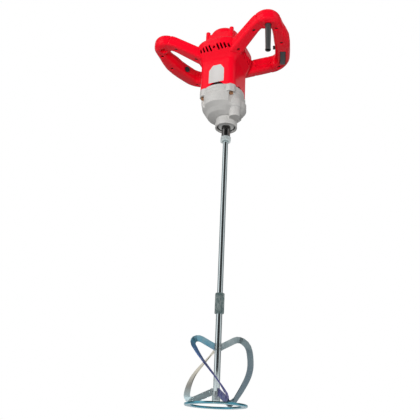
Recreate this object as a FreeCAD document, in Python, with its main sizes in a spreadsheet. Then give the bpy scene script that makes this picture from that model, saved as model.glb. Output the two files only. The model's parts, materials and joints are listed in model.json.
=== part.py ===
"""Two-handed mixing drill with a three-bladed paddle.

Frame: the spindle turns about the Z axis, Z points up, and Z = 0 is the lower face of the gear case's
neck. -Y is the front, with the label, and +X the right handle. All sizes are millimetres.
"""
import FreeCAD
import Part
import Sketcher
import math
import os
import re

Vector = FreeCAD.Vector

# Driving sizes. Heights named *_height are measured up from the neck's lower face.
SIZES = [
    # fits
    ("running_clearance", 0.05), ("seat_clearance", 0.1), ("free_gap", 0.4),
    # motor axis and layshaft axis, measured from the spindle axis
    ("motor_offset_x", -8.0), ("motor_offset_y", -7.0),
    ("layshaft_offset_x", 27.5), ("layshaft_offset_y", -18.5),
    # gear case
    ("neck_radius", 25.0), ("neck_length", 12.0), ("throat_radius", 23.5), ("neck_bore_radius", 21.0),
    ("bowl_floor_height", 21.5), ("bowl_floor_radius", 26.5),
    ("bowl_heel_height", 28.0), ("bowl_heel_radius", 37.0), ("heel_offset_x", -7.0), ("heel_offset_y", 0.0),
    ("bowl_side_height", 36.0), ("bowl_side_radius", 44.0), ("bowl_offset_x", -5.0), ("bowl_offset_y", 0.0),
    ("lobe_foot_height", 27.0), ("lobe_foot_radius", 22.0), ("lobe_height", 40.0), ("lobe_radius", 31.5),
    ("lobe_top_height", 56.0), ("lobe_offset_x", 15.0), ("lobe_offset_y", -1.0),
    ("pot_rim_height", 45.0), ("pot_rim_radius", 46.0),
    ("pot_wall_height", 60.0), ("pot_radius", 49.0), ("case_top_height", 85.0),
    ("boss_radius", 12.5), ("boss_step_radius", 15.0), ("boss_step_height", 37.0), ("boss_step_rise", 3.0),
    ("lug_reach_x", 34.5), ("lug_reach_y", 33.5), ("lug_width", 17.0), ("lug_height", 66.0),
    ("lug_corner_radius", 55.0),
    ("case_screw_radius", 2.5), ("case_screw_head_radius", 4.6), ("case_screw_head", 3.6),
    ("case_screw_grip", 14.0),
    # seal and spindle
    ("seal_recess", 3.0), ("seal_thickness", 3.0), ("spindle_bearing_width", 12.0),
    ("spindle_radius", 10.0), ("spindle_drop", 24.0), ("spindle_top_height", 46.0),
    ("spindle_bore_radius", 7.0), ("spindle_bore_depth", 24.0),
    ("flat_width", 17.0), ("flat_length", 10.0), ("flat_rise", 3.0),
    # nut, rods and coupling
    ("nut_width", 22.0), ("nut_thickness", 11.0), ("stud_length", 20.0),
    ("rod_radius", 6.0), ("rod_length", 351.0),
    ("coupling_width", 18.0), ("coupling_length", 41.0), ("coupling_web", 4.0),
    ("lower_rod_radius", 6.5), ("lower_rod_length", 167.0),
    # paddle
    ("hub_radius", 8.0), ("hub_length", 17.0),
    ("ring_radius", 60.0), ("ring_width", 12.0), ("ring_thickness", 4.0), ("ring_drop", 10.0),
    ("blade_width", 12.0), ("blade_thickness", 3.0), ("blade_twist", 85.0), ("blade_start", -7.0),
    ("blade_top_rise", 109.0), ("blade_spoke_rise", 21.0), ("blade_shoulder_reach", 61.0),
    ("blade_belly_reach", 65.0), ("blade_belly_rise", 66.0), ("blade_foot_reach", 55.0), ("weld_depth", 2.0),
    ("blade_root_rise", 27.0), ("blade_shoulder_bend", 20.0), ("blade_belly_bend", 120.0),
    ("blade_foot_bend", 12.0),
    # motor housing and deck
    ("body_width", 86.0), ("body_corner", 14.0), ("shell_wall", 3.0), ("body_rise", 65.0),
    ("flare_rise", 34.0), ("deck_edge", 16.0), ("deck_width", 118.0), ("deck_depth", 130.0),
    ("deck_corner", 46.0), ("screw_boss_radius", 6.0), ("screw_boss_floor", 3.0),
    ("arch_width", 38.0), ("arch_rise", 11.5), ("arch_reach", 4.0),
    ("slot_width", 4.0), ("slot_pitch", 8.4), ("slot_inset", 9.6), ("slot_longest", 15.0),
    ("slot_shortest", 5.0), ("slot_lean", 18.0), ("slot_drop", 5.0), ("vent_screw_radius", 3.0),
    # cover and cap
    ("cover_rise", 8.0), ("cover_top_width", 88.0), ("cover_top_depth", 92.0), ("cover_top_corner", 28.0),
    ("cap_width", 78.0), ("cap_corner", 14.0), ("cap_rise", 31.0), ("cap_taper", 4.0),
    ("dome_radius", 34.5), ("dome_rise", 22.0), ("dome_edge", 12.0),
    ("post_radius", 5.2), ("post_reach_x", 30.0), ("post_reach_y", 33.0), ("post_rise", 40.5),
    ("cap_screw_radius", 2.0), ("cap_screw_head_radius", 3.4), ("cap_screw_sink", 3.0),
    ("cap_screw_bite", 9.0), ("cap_screw_floor", 2.0),
    # motor
    ("motor_shaft_radius", 6.0), ("motor_tail_radius", 4.0), ("shaft_foot_height", 57.0),
    ("shaft_well_radius", 8.0), ("shaft_well_floor", 2.0),
    ("lower_bearing_radius", 16.0), ("lower_bearing_width", 10.0),
    ("upper_bearing_radius", 11.0), ("upper_bearing_width", 7.0),
    ("fan_radius", 35.0), ("fan_hub_radius", 12.0), ("fan_gap", 3.0), ("fan_plate", 2.0),
    ("fan_blade_height", 9.0), ("fan_blade_thickness", 1.6), ("fan_blade_start", 4.0),
    ("fan_blade_lean", 18.0),
    ("fan_blade_count", 12), ("fan_rim_inset", 1.0),
    ("baffle_wall", 1.6), ("baffle_lip", 3.0), ("baffle_radius", 39.0),
    ("stator_gap", 5.0), ("stator_length", 44.0), ("stator_bore_radius", 23.5), ("air_gap", 0.8),
    ("brush_plate_thickness", 4.0), ("brush_plate_bore_radius", 19.0),
    ("commutator_gap", 4.0), ("commutator_radius", 14.0), ("commutator_length", 16.0),
    ("brush_width", 7.0), ("brush_thickness", 10.0), ("brush_reach", 3.0), ("brush_box_length", 18.0),
    ("brush_box_width", 12.0), ("brush_box_lid", 2.0),
    ("bridge_width", 32.0), ("bridge_thickness", 9.0), ("bridge_cover_gap", 3.0),
    # handle loops, measured from the motor axis and up from the deck's foot; the two sides are mirror images
    ("grip_width", 36.0), ("grip_drop", 18.0), ("grip_rise", 18.0), ("grip_corner", 12.0),
    ("root_width", 35.0), ("root_rise", 14.5), ("arm_width", 27.0), ("arm_rise", 12.0), ("arm_drop", 17.0),
    ("arm_corner", 6.0), ("knob_rise", 12.5), ("knob_swell", 1.5),
    ("rear_arm_rise", 23.0), ("rear_arm_drop", 17.5), ("rear_arm_corner", 9.0),
    ("blank_width", 13.0), ("blank_depth", 4.0),
    ("pad_length", 24.0), ("pad_width", 26.0), ("pad_drop", 2.5), ("pad_root", 10.0),
    ("front_root_x", 13.0), ("front_root_y", -24.5), ("front_root_rise", -19.0),
    ("front_arm_x", 104.6), ("front_arm_y", -67.0), ("front_arm_rise", 33.0), ("front_arm_bend", 50.0),
    ("front_corner_x", 144.0), ("front_corner_y", -81.0), ("front_corner_rise", 38.0),
    ("front_corner_bend", 20.0),
    ("grip_middle_x", 145.0), ("grip_middle_y", 2.0), ("grip_middle_rise", 30.0),
    ("grip_middle_bend", 230.0),
    ("rear_corner_x", 114.0), ("rear_corner_y", 97.0), ("rear_corner_rise", 34.0),
    ("rear_corner_bend", 24.0),
    ("rear_root_x", 25.0), ("rear_root_y", 46.0), ("rear_root_rise", -6.0),
    ("handle_screw_radius", 2.0), ("handle_screw_head_radius", 3.4), ("handle_screw_sink", 6.0),
    ("handle_screw_head", 2.6), ("handle_screw_bite", 9.0),
    ("root_screw_share", 0.47), ("corner_screw_share", 0.5),
    # cord sleeve
    ("sleeve_x", 131.0), ("sleeve_y", -64.0), ("sleeve_top_radius", 7.0), ("sleeve_end_radius", 6.0),
    ("sleeve_bore_radius", 4.2), ("sleeve_length", 71.0), ("sleeve_plug", 8.0),
    # trigger, lock button and speed dial
    ("trigger_station", 54.0), ("trigger_offset", 0.5), ("trigger_length", 46.0), ("trigger_width", 12.0),
    ("trigger_depth", 11.0), ("trigger_bulge", 5.0), ("trigger_pin_radius", 2.0), ("trigger_pin_inset", 5.0),
    ("trigger_pin_overhang", 3.5), ("trigger_side_gap", 0.5), ("trigger_end_gap", 1.2),
    ("trigger_travel_room", 6.5), ("trigger_heel", 3.0),
    ("button_station", 29.0), ("button_radius", 4.5), ("button_reach", 5.0), ("button_depth", 6.0),
    ("button_travel", 3.0), ("button_drop", 6.5),
    ("dial_station", 36.0), ("dial_radius", 6.5), ("dial_reach", 7.0), ("dial_shaft_radius", 4.0),
    ("dial_shaft_length", 8.0), ("dial_drop", 6.0), ("dial_gap", 1.2),
]

doc = FreeCAD.newDocument("MixingDrill")
sheet = doc.addObject("Spreadsheet::Sheet", "Sizes")
for row, (alias, value) in enumerate(SIZES, start=1):
    sheet.set("A%d" % row, alias)
    sheet.set("B%d" % row, str(value))
    sheet.setAlias("B%d" % row, alias)
doc.recompute()
size = {alias: float(sheet.get(alias)) for alias, _ in SIZES}
nodes = []


def bound(text):
    """Turn size names in a formula into references to the sheet's cells."""
    return re.sub(r"[a-z][a-z_]+", lambda word: "Sizes." + word.group(0), text)


def node(obj, label):
    """Name a finished sub-part and put it on the list that is written out."""
    obj.Label = label
    nodes.append(obj)
    return obj


BLADES = 3
# bends may take up this much of the run between them
BENDS_SHARE = 0.95
FRONT_CORNER_EDGE = 3
GRIP_BEND_EDGE = 5
# sections along each run and bend of a blade, and rounds in which its foot settles on the ring
BLADE_STEPS = (3, 6, 5, 6, 5, 6, 3)
FOOT_ROUNDS = 12

# Positions that several pieces share, as formulas of the sizes.
MOTOR = ("motor_offset_x", "motor_offset_y")
LAYSHAFT = ("layshaft_offset_x", "layshaft_offset_y")
SPINDLE = ("0", "0")
BOWL = ("bowl_offset_x", "bowl_offset_y")
HEEL = ("heel_offset_x", "heel_offset_y")
LOBE = ("lobe_offset_x", "lobe_offset_y")
NUT_TOP = "0 - spindle_drop"
NUT_BOTTOM = "0 - spindle_drop - nut_thickness"
COUPLING_TOP = NUT_BOTTOM + " - rod_length"
COUPLING_BOTTOM = COUPLING_TOP + " - coupling_length"
ROD_END = COUPLING_BOTTOM + " - lower_rod_length"
BEARING_TOP = "seal_recess + seal_thickness + spindle_bearing_width"
FAN_TOP = "case_top_height + fan_gap + fan_plate + fan_blade_height"
STATOR_FOOT = FAN_TOP + " + stator_gap"
STATOR_TOP = STATOR_FOOT + " + stator_length"
COMMUTATOR_FOOT = STATOR_TOP + " + brush_plate_thickness + commutator_gap"
DECK_FOOT = "case_top_height + body_rise + flare_rise"
DECK_TOP = DECK_FOOT + " + deck_edge"
BRIDGE_TOP = DECK_TOP + " - bridge_cover_gap"
BRIDGE_FOOT = BRIDGE_TOP + " - bridge_thickness"
SLEEVE_SEAT = DECK_FOOT + " + front_corner_rise - grip_drop"

# The same heights as numbers, for the shapes that are drawn directly.
body_top = size["case_top_height"] + size["body_rise"]
deck_foot = body_top + size["flare_rise"]
deck_top = deck_foot + size["deck_edge"]
cover_top = deck_top + size["cover_rise"]
sleeve_seat = deck_foot + size["front_corner_rise"] - size["grip_drop"]


def turned(label, profile, axis=SPINDLE):
    """Body made by turning a closed profile of (radius, height) formulas about an upright axis."""
    body = doc.addObject("PartDesign::Body", label)
    sketch = body.newObject("Sketcher::SketchObject", label + "_profile")
    plane = [item for item in body.Origin.OriginFeatures if item.Role == "XZ_Plane"][0]
    sketch.AttachmentSupport = [(plane, "")]
    sketch.MapMode = "FlatFace"
    count = len(profile)
    start = [Vector(1.0 + i, 2.0 * i + i % 2, 0) for i in range(count)]
    for i in range(count):
        sketch.addGeometry(Part.LineSegment(start[i], start[(i + 1) % count]))
    joins = [Sketcher.Constraint("Coincident", i, 2, (i + 1) % count, 1) for i in range(count)]
    sketch.addConstraint(joins)
    for i, (radius, height) in enumerate(profile):
        for kind, formula, guess in (("DistanceX", radius, start[i].x), ("DistanceY", height, start[i].y)):
            index = sketch.addConstraint(Sketcher.Constraint(kind, -1, 1, i, 1, guess))
            sketch.setExpression("Constraints[%d]" % index, bound(formula))
    turn = body.newObject("PartDesign::Revolution", label + "_turn")
    turn.Profile = sketch
    turn.ReferenceAxis = (sketch, ["V_Axis"])
    turn.Angle = 360.0
    body.setExpression("Placement.Base.x", bound(axis[0]))
    body.setExpression("Placement.Base.y", bound(axis[1]))
    return body


def tube(inner, outer, low, high):
    """Profile of a plain ring or tube."""
    return [(inner, low), (outer, low), (outer, high), (inner, high)]


def place(obj, x, y, z):
    """Bind an object's position to formulas."""
    for name, formula in (("x", x), ("y", y), ("z", z)):
        obj.setExpression("Placement.Base." + name, bound(formula))
    return obj


def cylinder(name, radius, low, high, axis=SPINDLE):
    obj = doc.addObject("Part::Cylinder", name)
    obj.setExpression("Radius", bound(radius))
    obj.setExpression("Height", bound("(%s) - (%s)" % (high, low)))
    return place(obj, axis[0], axis[1], low)


def cone(name, low_radius, high_radius, low, high, axis=SPINDLE):
    obj = doc.addObject("Part::Cone", name)
    obj.setExpression("Radius1", bound(low_radius))
    obj.setExpression("Radius2", bound(high_radius))
    obj.setExpression("Height", bound("(%s) - (%s)" % (high, low)))
    return place(obj, axis[0], axis[1], low)


def block(name, length, width, height, x, y, z):
    obj = doc.addObject("Part::Box", name)
    for prop, formula in (("Length", length), ("Width", width), ("Height", height)):
        obj.setExpression(prop, bound(formula))
    return place(obj, x, y, z)


def hexagon(name, width, low, high):
    obj = doc.addObject("Part::Prism", name)
    obj.Polygon = 6
    obj.setExpression("Circumradius", bound("(%s) / (2 * cos(30 deg))" % width).replace("Sizes.cos", "cos")
                      .replace("Sizes.deg", "deg"))
    obj.setExpression("Height", bound("(%s) - (%s)" % (high, low)))
    return place(obj, "0", "0", low)


def circle(name, radius, height, axis=SPINDLE):
    obj = doc.addObject("Part::Circle", name)
    obj.setExpression("Radius", bound(radius))
    return place(obj, axis[0], axis[1], height)


def slanted(name, low, low_axis, high, high_axis):
    """Solid between two level rings that may stand on different axes."""
    obj = doc.addObject("Part::Loft", name)
    obj.Sections = [circle("%s_%s_edge" % (name, ring), ring + "_radius", ring + "_height", axis)
                    for ring, axis in ((low, low_axis), (high, high_axis))]
    obj.Solid = True
    obj.Ruled = True
    return obj


def fused(name, pieces):
    obj = doc.addObject("Part::MultiFuse", name)
    obj.Shapes = pieces
    obj.Refine = True
    return obj


def cut(name, base, tools):
    obj = doc.addObject("Part::Cut", name)
    obj.Base = base
    obj.Tool = tools[0] if len(tools) == 1 else fused(name + "_tools", tools)
    return obj


def feature(label, shape):
    """Node whose shape is built from the sizes with curves, lofts and sweeps."""
    obj = doc.addObject("Part::Feature", label)
    obj.Shape = shape
    return node(obj, label)


CORNERS = [("front_left", -1, -1), ("front_right", 1, -1), ("rear_left", -1, 1), ("rear_right", 1, 1)]


def corner_axis(reach_x, reach_y, side_x, side_y):
    """Axis formulas of one of four places set out square about the motor axis."""
    return ("motor_offset_x + %d * %s" % (side_x, reach_x), "motor_offset_y + %d * %s" % (side_y, reach_y))


def gear_case():
    """Casting: pot about the motor axis, bowl and neck, lobe and boss at the layshaft, corner lugs."""
    solids = [
        cylinder("case_neck", "neck_radius", "0", "neck_length"),
        cylinder("case_throat", "throat_radius", "neck_length", "bowl_side_height"),
        slanted("case_floor", "bowl_floor", SPINDLE, "bowl_heel", HEEL),
        slanted("case_bowl", "bowl_heel", HEEL, "bowl_side", BOWL),
        slanted("case_heel", "bowl_side", BOWL, "pot_rim", MOTOR),
        cone("case_lobe_foot", "lobe_foot_radius", "lobe_radius", "lobe_foot_height", "lobe_height", LOBE),
        cylinder("case_lobe", "lobe_radius", "lobe_height", "lobe_top_height", LOBE),
        cone("case_pot_foot", "pot_rim_radius", "pot_radius", "pot_rim_height", "pot_wall_height", MOTOR),
        cylinder("case_pot", "pot_radius", "pot_wall_height", "case_top_height", MOTOR),
        cylinder("case_boss", "boss_radius", "neck_length", "lobe_top_height", LAYSHAFT),
        cone("case_boss_step", "boss_radius", "boss_step_radius", "boss_step_height - boss_step_rise",
             "boss_step_height", LAYSHAFT),
        cylinder("case_boss_root", "boss_step_radius", "boss_step_height", "lobe_top_height", LAYSHAFT),
    ]
    bores = [
        cylinder("neck_bore", "neck_bore_radius", "0", BEARING_TOP),
        cylinder("spindle_well", "spindle_radius + free_gap", "0", "spindle_top_height + free_gap"),
        cylinder("lower_bearing_seat", "lower_bearing_radius", "case_top_height - lower_bearing_width",
                 "case_top_height", MOTOR),
        cylinder("shaft_well", "shaft_well_radius", "shaft_foot_height - shaft_well_floor",
                 "case_top_height", MOTOR),
    ]
    lugs = []
    for name, side_x, side_y in CORNERS:
        axis = corner_axis("lug_reach_x", "lug_reach_y", side_x, side_y)
        inner_x = "body_width / 2 - lug_width" if side_x > 0 else "0 - body_width / 2"
        inner_y = "body_width / 2 - lug_width" if side_y > 0 else "0 - body_width / 2"
        lugs.append(block("case_lug_" + name, "lug_width", "lug_width", "case_top_height - lug_height",
                          "motor_offset_x + " + inner_x, "motor_offset_y + " + inner_y, "lug_height"))
        bores.append(cylinder("case_screw_bore_" + name, "case_screw_radius", "lug_height - case_screw_head",
                              "case_top_height", axis))
        # room for the screw's head and a driver under the lug
        bores.append(cylinder("case_screw_way_" + name, "case_screw_head_radius + free_gap", "0",
                              "lug_height", axis))
    trimmed = doc.addObject("Part::Common", "case_lugs")
    trimmed.Base = fused("case_lug_blocks", lugs)
    trimmed.Tool = cylinder("case_lug_round", "lug_corner_radius", "lug_height", "case_top_height", MOTOR)
    solids.append(trimmed)
    node(cut("gear_case_casting", fused("case_solid", solids), bores), "gear_case")


def gear_case_screws():
    for name, side_x, side_y in CORNERS:
        axis = corner_axis("lug_reach_x", "lug_reach_y", side_x, side_y)
        profile = [("0", "lug_height - case_screw_head"),
                   ("case_screw_head_radius", "lug_height - case_screw_head"),
                   ("case_screw_head_radius", "lug_height"),
                   ("case_screw_radius", "lug_height"),
                   ("case_screw_radius", "case_top_height + case_screw_grip"),
                   ("0", "case_top_height + case_screw_grip")]
        node(turned("case_screw_" + name, profile, axis), "gear_case_screw_" + name)


def neck_fittings():
    seal = tube("spindle_radius + running_clearance", "neck_bore_radius",
                "seal_recess", "seal_recess + seal_thickness")
    node(turned("seal_ring", seal), "dust_seal")
    bearing = tube("spindle_radius + running_clearance", "neck_bore_radius",
                   "seal_recess + seal_thickness", BEARING_TOP)
    node(turned("neck_bearing", bearing), "spindle_bearing")


def spindle_line():
    """Spindle, nut, rods and coupling, from the gear case down to the paddle."""
    blank = turned("spindle_blank", [
        ("0", NUT_TOP + " + spindle_bore_depth"), ("spindle_bore_radius", NUT_TOP + " + spindle_bore_depth"),
        ("spindle_bore_radius", NUT_TOP), ("spindle_radius", NUT_TOP),
        ("spindle_radius", "spindle_top_height"), ("0", "spindle_top_height")])
    flats = []
    for name, x in (("left", "0 - spindle_radius - flat_width / 2"), ("right", "flat_width / 2")):
        flats.append(block("spindle_flat_" + name, "spindle_radius", "4 * spindle_radius", "flat_length",
                           x, "0 - 2 * spindle_radius", NUT_TOP + " + flat_rise"))
    node(cut("spindle_milled", blank, flats), "spindle")

    stud = "spindle_bore_radius - running_clearance"
    nut_bore = cylinder("nut_bore", "spindle_bore_radius", NUT_BOTTOM, NUT_TOP)
    node(cut("nut_bored", hexagon("nut_hexagon", "nut_width", NUT_BOTTOM, NUT_TOP), [nut_bore]), "lock_nut")

    upper_end = COUPLING_TOP + " - coupling_length / 2 + coupling_web / 2"
    node(turned("rod_upper", [("0", upper_end), ("rod_radius", upper_end), ("rod_radius", NUT_BOTTOM),
                              (stud, NUT_BOTTOM), (stud, NUT_TOP + " + stud_length"),
                              ("0", NUT_TOP + " + stud_length")]), "upper_rod")

    lower_start = COUPLING_BOTTOM + " + coupling_length / 2 - coupling_web / 2"
    sockets = [cylinder("coupling_upper_socket", "rod_radius + running_clearance", upper_end, COUPLING_TOP),
               cylinder("coupling_lower_socket", "lower_rod_radius + running_clearance",
                        COUPLING_BOTTOM, lower_start)]
    solid = hexagon("coupling_hexagon", "coupling_width", COUPLING_BOTTOM, COUPLING_TOP)
    node(cut("coupling_bored", solid, sockets), "coupling")
    node(turned("rod_lower", [("0", ROD_END), ("lower_rod_radius", ROD_END),
                              ("lower_rod_radius", lower_start), ("0", lower_start)]), "lower_rod")
    node(turned("hub_tube", tube("lower_rod_radius + running_clearance", "hub_radius",
                                 ROD_END, ROD_END + " + hub_length")), "hub_sleeve")
    bottom = ROD_END + " - ring_drop"
    node(turned("ring_flat", tube("ring_radius - ring_width", "ring_radius",
                                  bottom, bottom + " + ring_thickness")), "bottom_ring")


def bend_reaches(points, bends):
    """Half angle of each bend and its reach along the runs beside it; two bends share a short run."""
    halves, reaches = [], [0.0]
    for i, bend in enumerate(bends, start=1):
        back = (points[i - 1] - points[i]).normalize()
        ahead = (points[i + 1] - points[i]).normalize()
        halves.append(math.acos(max(-1.0, min(1.0, back.dot(ahead)))) / 2)
        reaches.append(bend / math.tan(halves[-1]))
    reaches.append(0.0)
    fits = [1.0] * len(points)
    for i in range(len(points) - 1):
        run = (points[i + 1] - points[i]).Length
        fit = min(1.0, BENDS_SHARE * run / (reaches[i] + reaches[i + 1]))
        fits[i], fits[i + 1] = min(fits[i], fit), min(fits[i + 1], fit)
    return halves, [reach * fit for reach, fit in zip(reaches, fits)][1:-1]


def rounded_path(points, bends):
    """Edges of straight runs joined by tangent arcs at the inner points."""
    edges = []
    last = points[0]
    for i, (half, reach) in enumerate(zip(*bend_reaches(points, bends)), start=1):
        point = points[i]
        back = (points[i - 1] - point).normalize()
        ahead = (points[i + 1] - point).normalize()
        bend = reach * math.tan(half)
        enter = point + back * reach
        leave = point + ahead * reach
        middle = point + (back + ahead).normalize() * (bend / math.sin(half) - bend)
        edges += [Part.makeLine(last, enter), Part.Arc(enter, middle, leave).toShape()]
        last = leave
    edges.append(Part.makeLine(last, points[-1]))
    return edges


def blade_outline(foot_z):
    """One blade's centre line in the plane of radius (x) and height (y), from rod to hub."""
    ring_bottom = -(size["spindle_drop"] + size["nut_thickness"] + size["rod_length"]
                    + size["coupling_length"] + size["lower_rod_length"] + size["ring_drop"])
    top = ring_bottom + size["blade_top_rise"]
    points = [Vector(size["lower_rod_radius"] - size["weld_depth"], top, 0),
              Vector(size["blade_shoulder_reach"], top + size["blade_spoke_rise"], 0),
              Vector(size["blade_belly_reach"], ring_bottom + size["blade_belly_rise"], 0),
              Vector(size["blade_foot_reach"], foot_z, 0),
              Vector(size["hub_radius"] - size["weld_depth"], ring_bottom + size["blade_root_rise"], 0)]
    bends = [size["blade_shoulder_bend"], size["blade_belly_bend"], size["blade_foot_bend"]]
    return rounded_path(points, bends), ring_bottom + size["ring_thickness"]


def blade_stations(foot_z):
    """Points and directions along one blade's centre line, with a few on each run and bend."""
    edges, ring_top = blade_outline(foot_z)
    stations = []
    for edge, steps in zip(edges, BLADE_STEPS):
        first, last = edge.ParameterRange
        for k in range(steps):
            at = first + (last - first) * k / steps
            stations.append((edge.valueAt(at), edge.tangentAt(at)))
    tip = edges[-1]
    stations.append((tip.valueAt(tip.LastParameter), tip.tangentAt(tip.LastParameter)))
    return stations, ring_top


def blade_solid(turn):
    """Flat strip, bent to a C beside the rod, with its long side twisted about the rod."""
    # lower the foot until the strip's outer edge rests on the ring
    stations, ring_top = blade_stations(0.0)
    foot = ring_top
    for _ in range(FOOT_ROUNDS):
        stations, ring_top = blade_stations(foot)
        foot += ring_top - min(point.y - abs(along.x) * size["blade_width"] / 2 for point, along in stations)
    high = max(point.y for point, _ in stations)
    low = min(point.y for point, _ in stations)
    begin = stations.index(max(stations, key=lambda s: s[0].y))
    end = stations.index(min(stations, key=lambda s: s[0].y))
    rings = []
    for i, (point, along) in enumerate(stations):
        share = 0.0 if i < begin else 1.0 if i > end else (high - point.y) / (high - low)
        angle = math.radians(turn + size["blade_twist"] * share)
        outward = Vector(math.cos(angle), math.sin(angle), 0)
        sideways = Vector(-math.sin(angle), math.cos(angle), 0) * (size["blade_thickness"] / 2)
        across = outward * along.y + Vector(0, 0, -along.x)
        centre = outward * point.x + Vector(0, 0, point.y)
        half = across * (size["blade_width"] / 2)
        ring = [centre + half + sideways, centre + half - sideways, centre - half - sideways,
                centre - half + sideways]
        rings.append(Part.makePolygon(ring + ring[:1]))
    return Part.makeLoft(rings, True, True)


def paddle():
    """Three blades, trimmed where they are welded to the rod and the hub."""
    rod_end = -(size["spindle_drop"] + size["nut_thickness"] + size["rod_length"] + size["coupling_length"]
                + size["lower_rod_length"])
    foot = Vector(0, 0, rod_end)
    trim = Part.makeCylinder(size["lower_rod_radius"], size["lower_rod_length"], foot).fuse(
        Part.makeCylinder(size["hub_radius"], size["hub_length"], foot))
    for i in range(BLADES):
        feature("blade_%d" % (i + 1), blade_solid(size["blade_start"] + 360.0 * i / BLADES).cut(trim))


def rounded_rectangle(width, depth, corner, height):
    """Wire about the motor axis, level at the given height."""
    cx, cy = size["motor_offset_x"], size["motor_offset_y"]
    x, y = width / 2, depth / 2
    bite = corner * (1 - math.sqrt(0.5))

    def at(px, py):
        return Vector(cx + px, cy + py, height)
    edges = []
    for sx, sy, swap in ((1, -1, False), (1, 1, True), (-1, 1, False), (-1, -1, True)):
        ends = [at(sx * (x - corner), sy * y), at(sx * x, sy * (y - corner))]
        if swap:
            ends.reverse()
        if edges:
            edges.append(Part.makeLine(edges[-1].Vertexes[-1].Point, ends[0]))
        edges.append(Part.Arc(ends[0], at(sx * (x - bite), sy * (y - bite)), ends[1]).toShape())
    edges.append(Part.makeLine(edges[-1].Vertexes[-1].Point, edges[0].Vertexes[0].Point))
    return Part.Wire(edges)


def ease(share):
    return share * share * (3 - 2 * share)


def housing_sections(inset):
    """Level outlines of the motor housing, from the gear case up through the flare to the deck's top."""
    body = (size["body_width"], size["body_width"], size["body_corner"])
    deck = (size["deck_width"], size["deck_depth"], size["deck_corner"])
    stack = [(size["case_top_height"], 0.0)]
    steps = 6
    for i in range(steps + 1):
        share = i / steps
        stack.append((body_top + share * size["flare_rise"], share))
    stack.append((deck_top, 1.0))
    wires = []
    for height, share in stack:
        width, depth, corner = [a + (b - a) * ease(share) for a, b in zip(body, deck)]
        wires.append(rounded_rectangle(width - 2 * inset, depth - 2 * inset, corner - inset, height))
    return wires


def housing_outside():
    return Part.makeLoft(housing_sections(0.0), True, True)


def vent_tools():
    """Slanted slots in two groups on the front, the back and both sides, and the screw hole between."""
    tools = []
    reach = size["deck_depth"] + size["deck_width"]
    for quarter, count in ((0, 5), (1, 2), (2, 5), (3, 2)):
        outward = size["deck_width"] / 2 if quarter % 2 else size["deck_depth"] / 2
        for side in (-1, 1):
            for k in range(count):
                fall = k / 4.0
                length = size["slot_longest"] + (size["slot_shortest"] - size["slot_longest"]) * fall ** 2
                slot = Part.makeBox(size["slot_width"], reach / 4, length,
                                    Vector(-size["slot_width"] / 2, -outward - reach / 16, -length / 2))
                slot.rotate(Vector(0, 0, 0), Vector(0, 1, 0), -size["slot_lean"])
                slot.translate(Vector(side * (size["slot_inset"] + k * size["slot_pitch"]), 0, 0))
                slot.rotate(Vector(0, 0, 0), Vector(0, 0, 1), 90.0 * quarter)
                tools.append(slot)
        hole = Part.makeCylinder(size["vent_screw_radius"], reach / 4, Vector(0, -outward + reach / 8, 0),
                                 Vector(0, -1, 0))
        hole.rotate(Vector(0, 0, 0), Vector(0, 0, 1), 90.0 * quarter)
        tools.append(hole)
    for tool in tools:
        tool.translate(Vector(size["motor_offset_x"], size["motor_offset_y"], deck_foot - size["slot_drop"]))
    return tools


def motor_housing():
    """Square shell on the gear case that flares to the deck, open at the top under the cover."""
    low = size["case_top_height"]
    inside = Part.makeLoft(housing_sections(size["shell_wall"]), True, True)
    shell = housing_outside().cut(inside)
    centre = Vector(size["motor_offset_x"], size["motor_offset_y"], low)
    bosses = []
    bores = []
    for _, side_x, side_y in CORNERS:
        foot = centre + Vector(side_x * size["lug_reach_x"], side_y * size["lug_reach_y"], 0)
        depth = size["case_screw_grip"] + size["screw_boss_floor"]
        bosses.append(Part.makeCylinder(size["screw_boss_radius"], depth, foot))
        bores.append(Part.makeCylinder(size["case_screw_radius"], size["case_screw_grip"], foot))
    shell = shell.fuse(bosses).common(housing_outside()).cut(bores)
    # arched air gaps over the gear case, on all four sides
    start = Vector(-size["arch_width"] / 2, 0, 0)
    finish = Vector(size["arch_width"] / 2, 0, 0)
    crown = Vector(0, 0, size["arch_rise"])
    arch = Part.Wire([Part.Arc(start, crown, finish).toShape(), Part.makeLine(finish, start)])
    gaps = []
    for quarter in range(4):
        gap = Part.Face(arch).extrude(Vector(0, -size["body_width"], 0))
        gap.translate(Vector(0, -size["body_width"] / 2 + size["arch_reach"], 0))
        gap.rotate(Vector(0, 0, 0), Vector(0, 0, 1), 90.0 * quarter)
        gap.translate(centre)
        gaps.append(gap)
    # the handles' root screws pass through the flare
    ways = [screw_tools(spot)[0] for spot in screw_places()]
    ways += [mirrored(way) for way in ways]
    feature("motor_housing", shell.cut(gaps).cut(vent_tools()).cut(ways).removeSplitter())


def cover_sections(inset):
    """Level outlines of the top cover, drawn in like a shallow dome."""
    deck = (size["deck_width"], size["deck_depth"], size["deck_corner"])
    top = (size["cover_top_width"], size["cover_top_depth"], size["cover_top_corner"])
    wires = []
    steps = 5
    for i in range(steps + 1):
        swing = math.radians(90.0 * i / steps)
        height = deck_top + (size["cover_rise"] - inset) * math.sin(swing)
        width, depth, corner = [b + (a - b) * math.cos(swing) for a, b in zip(deck, top)]
        wires.append(rounded_rectangle(width - 2 * inset, depth - 2 * inset, corner - inset, height))
    return wires


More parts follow.
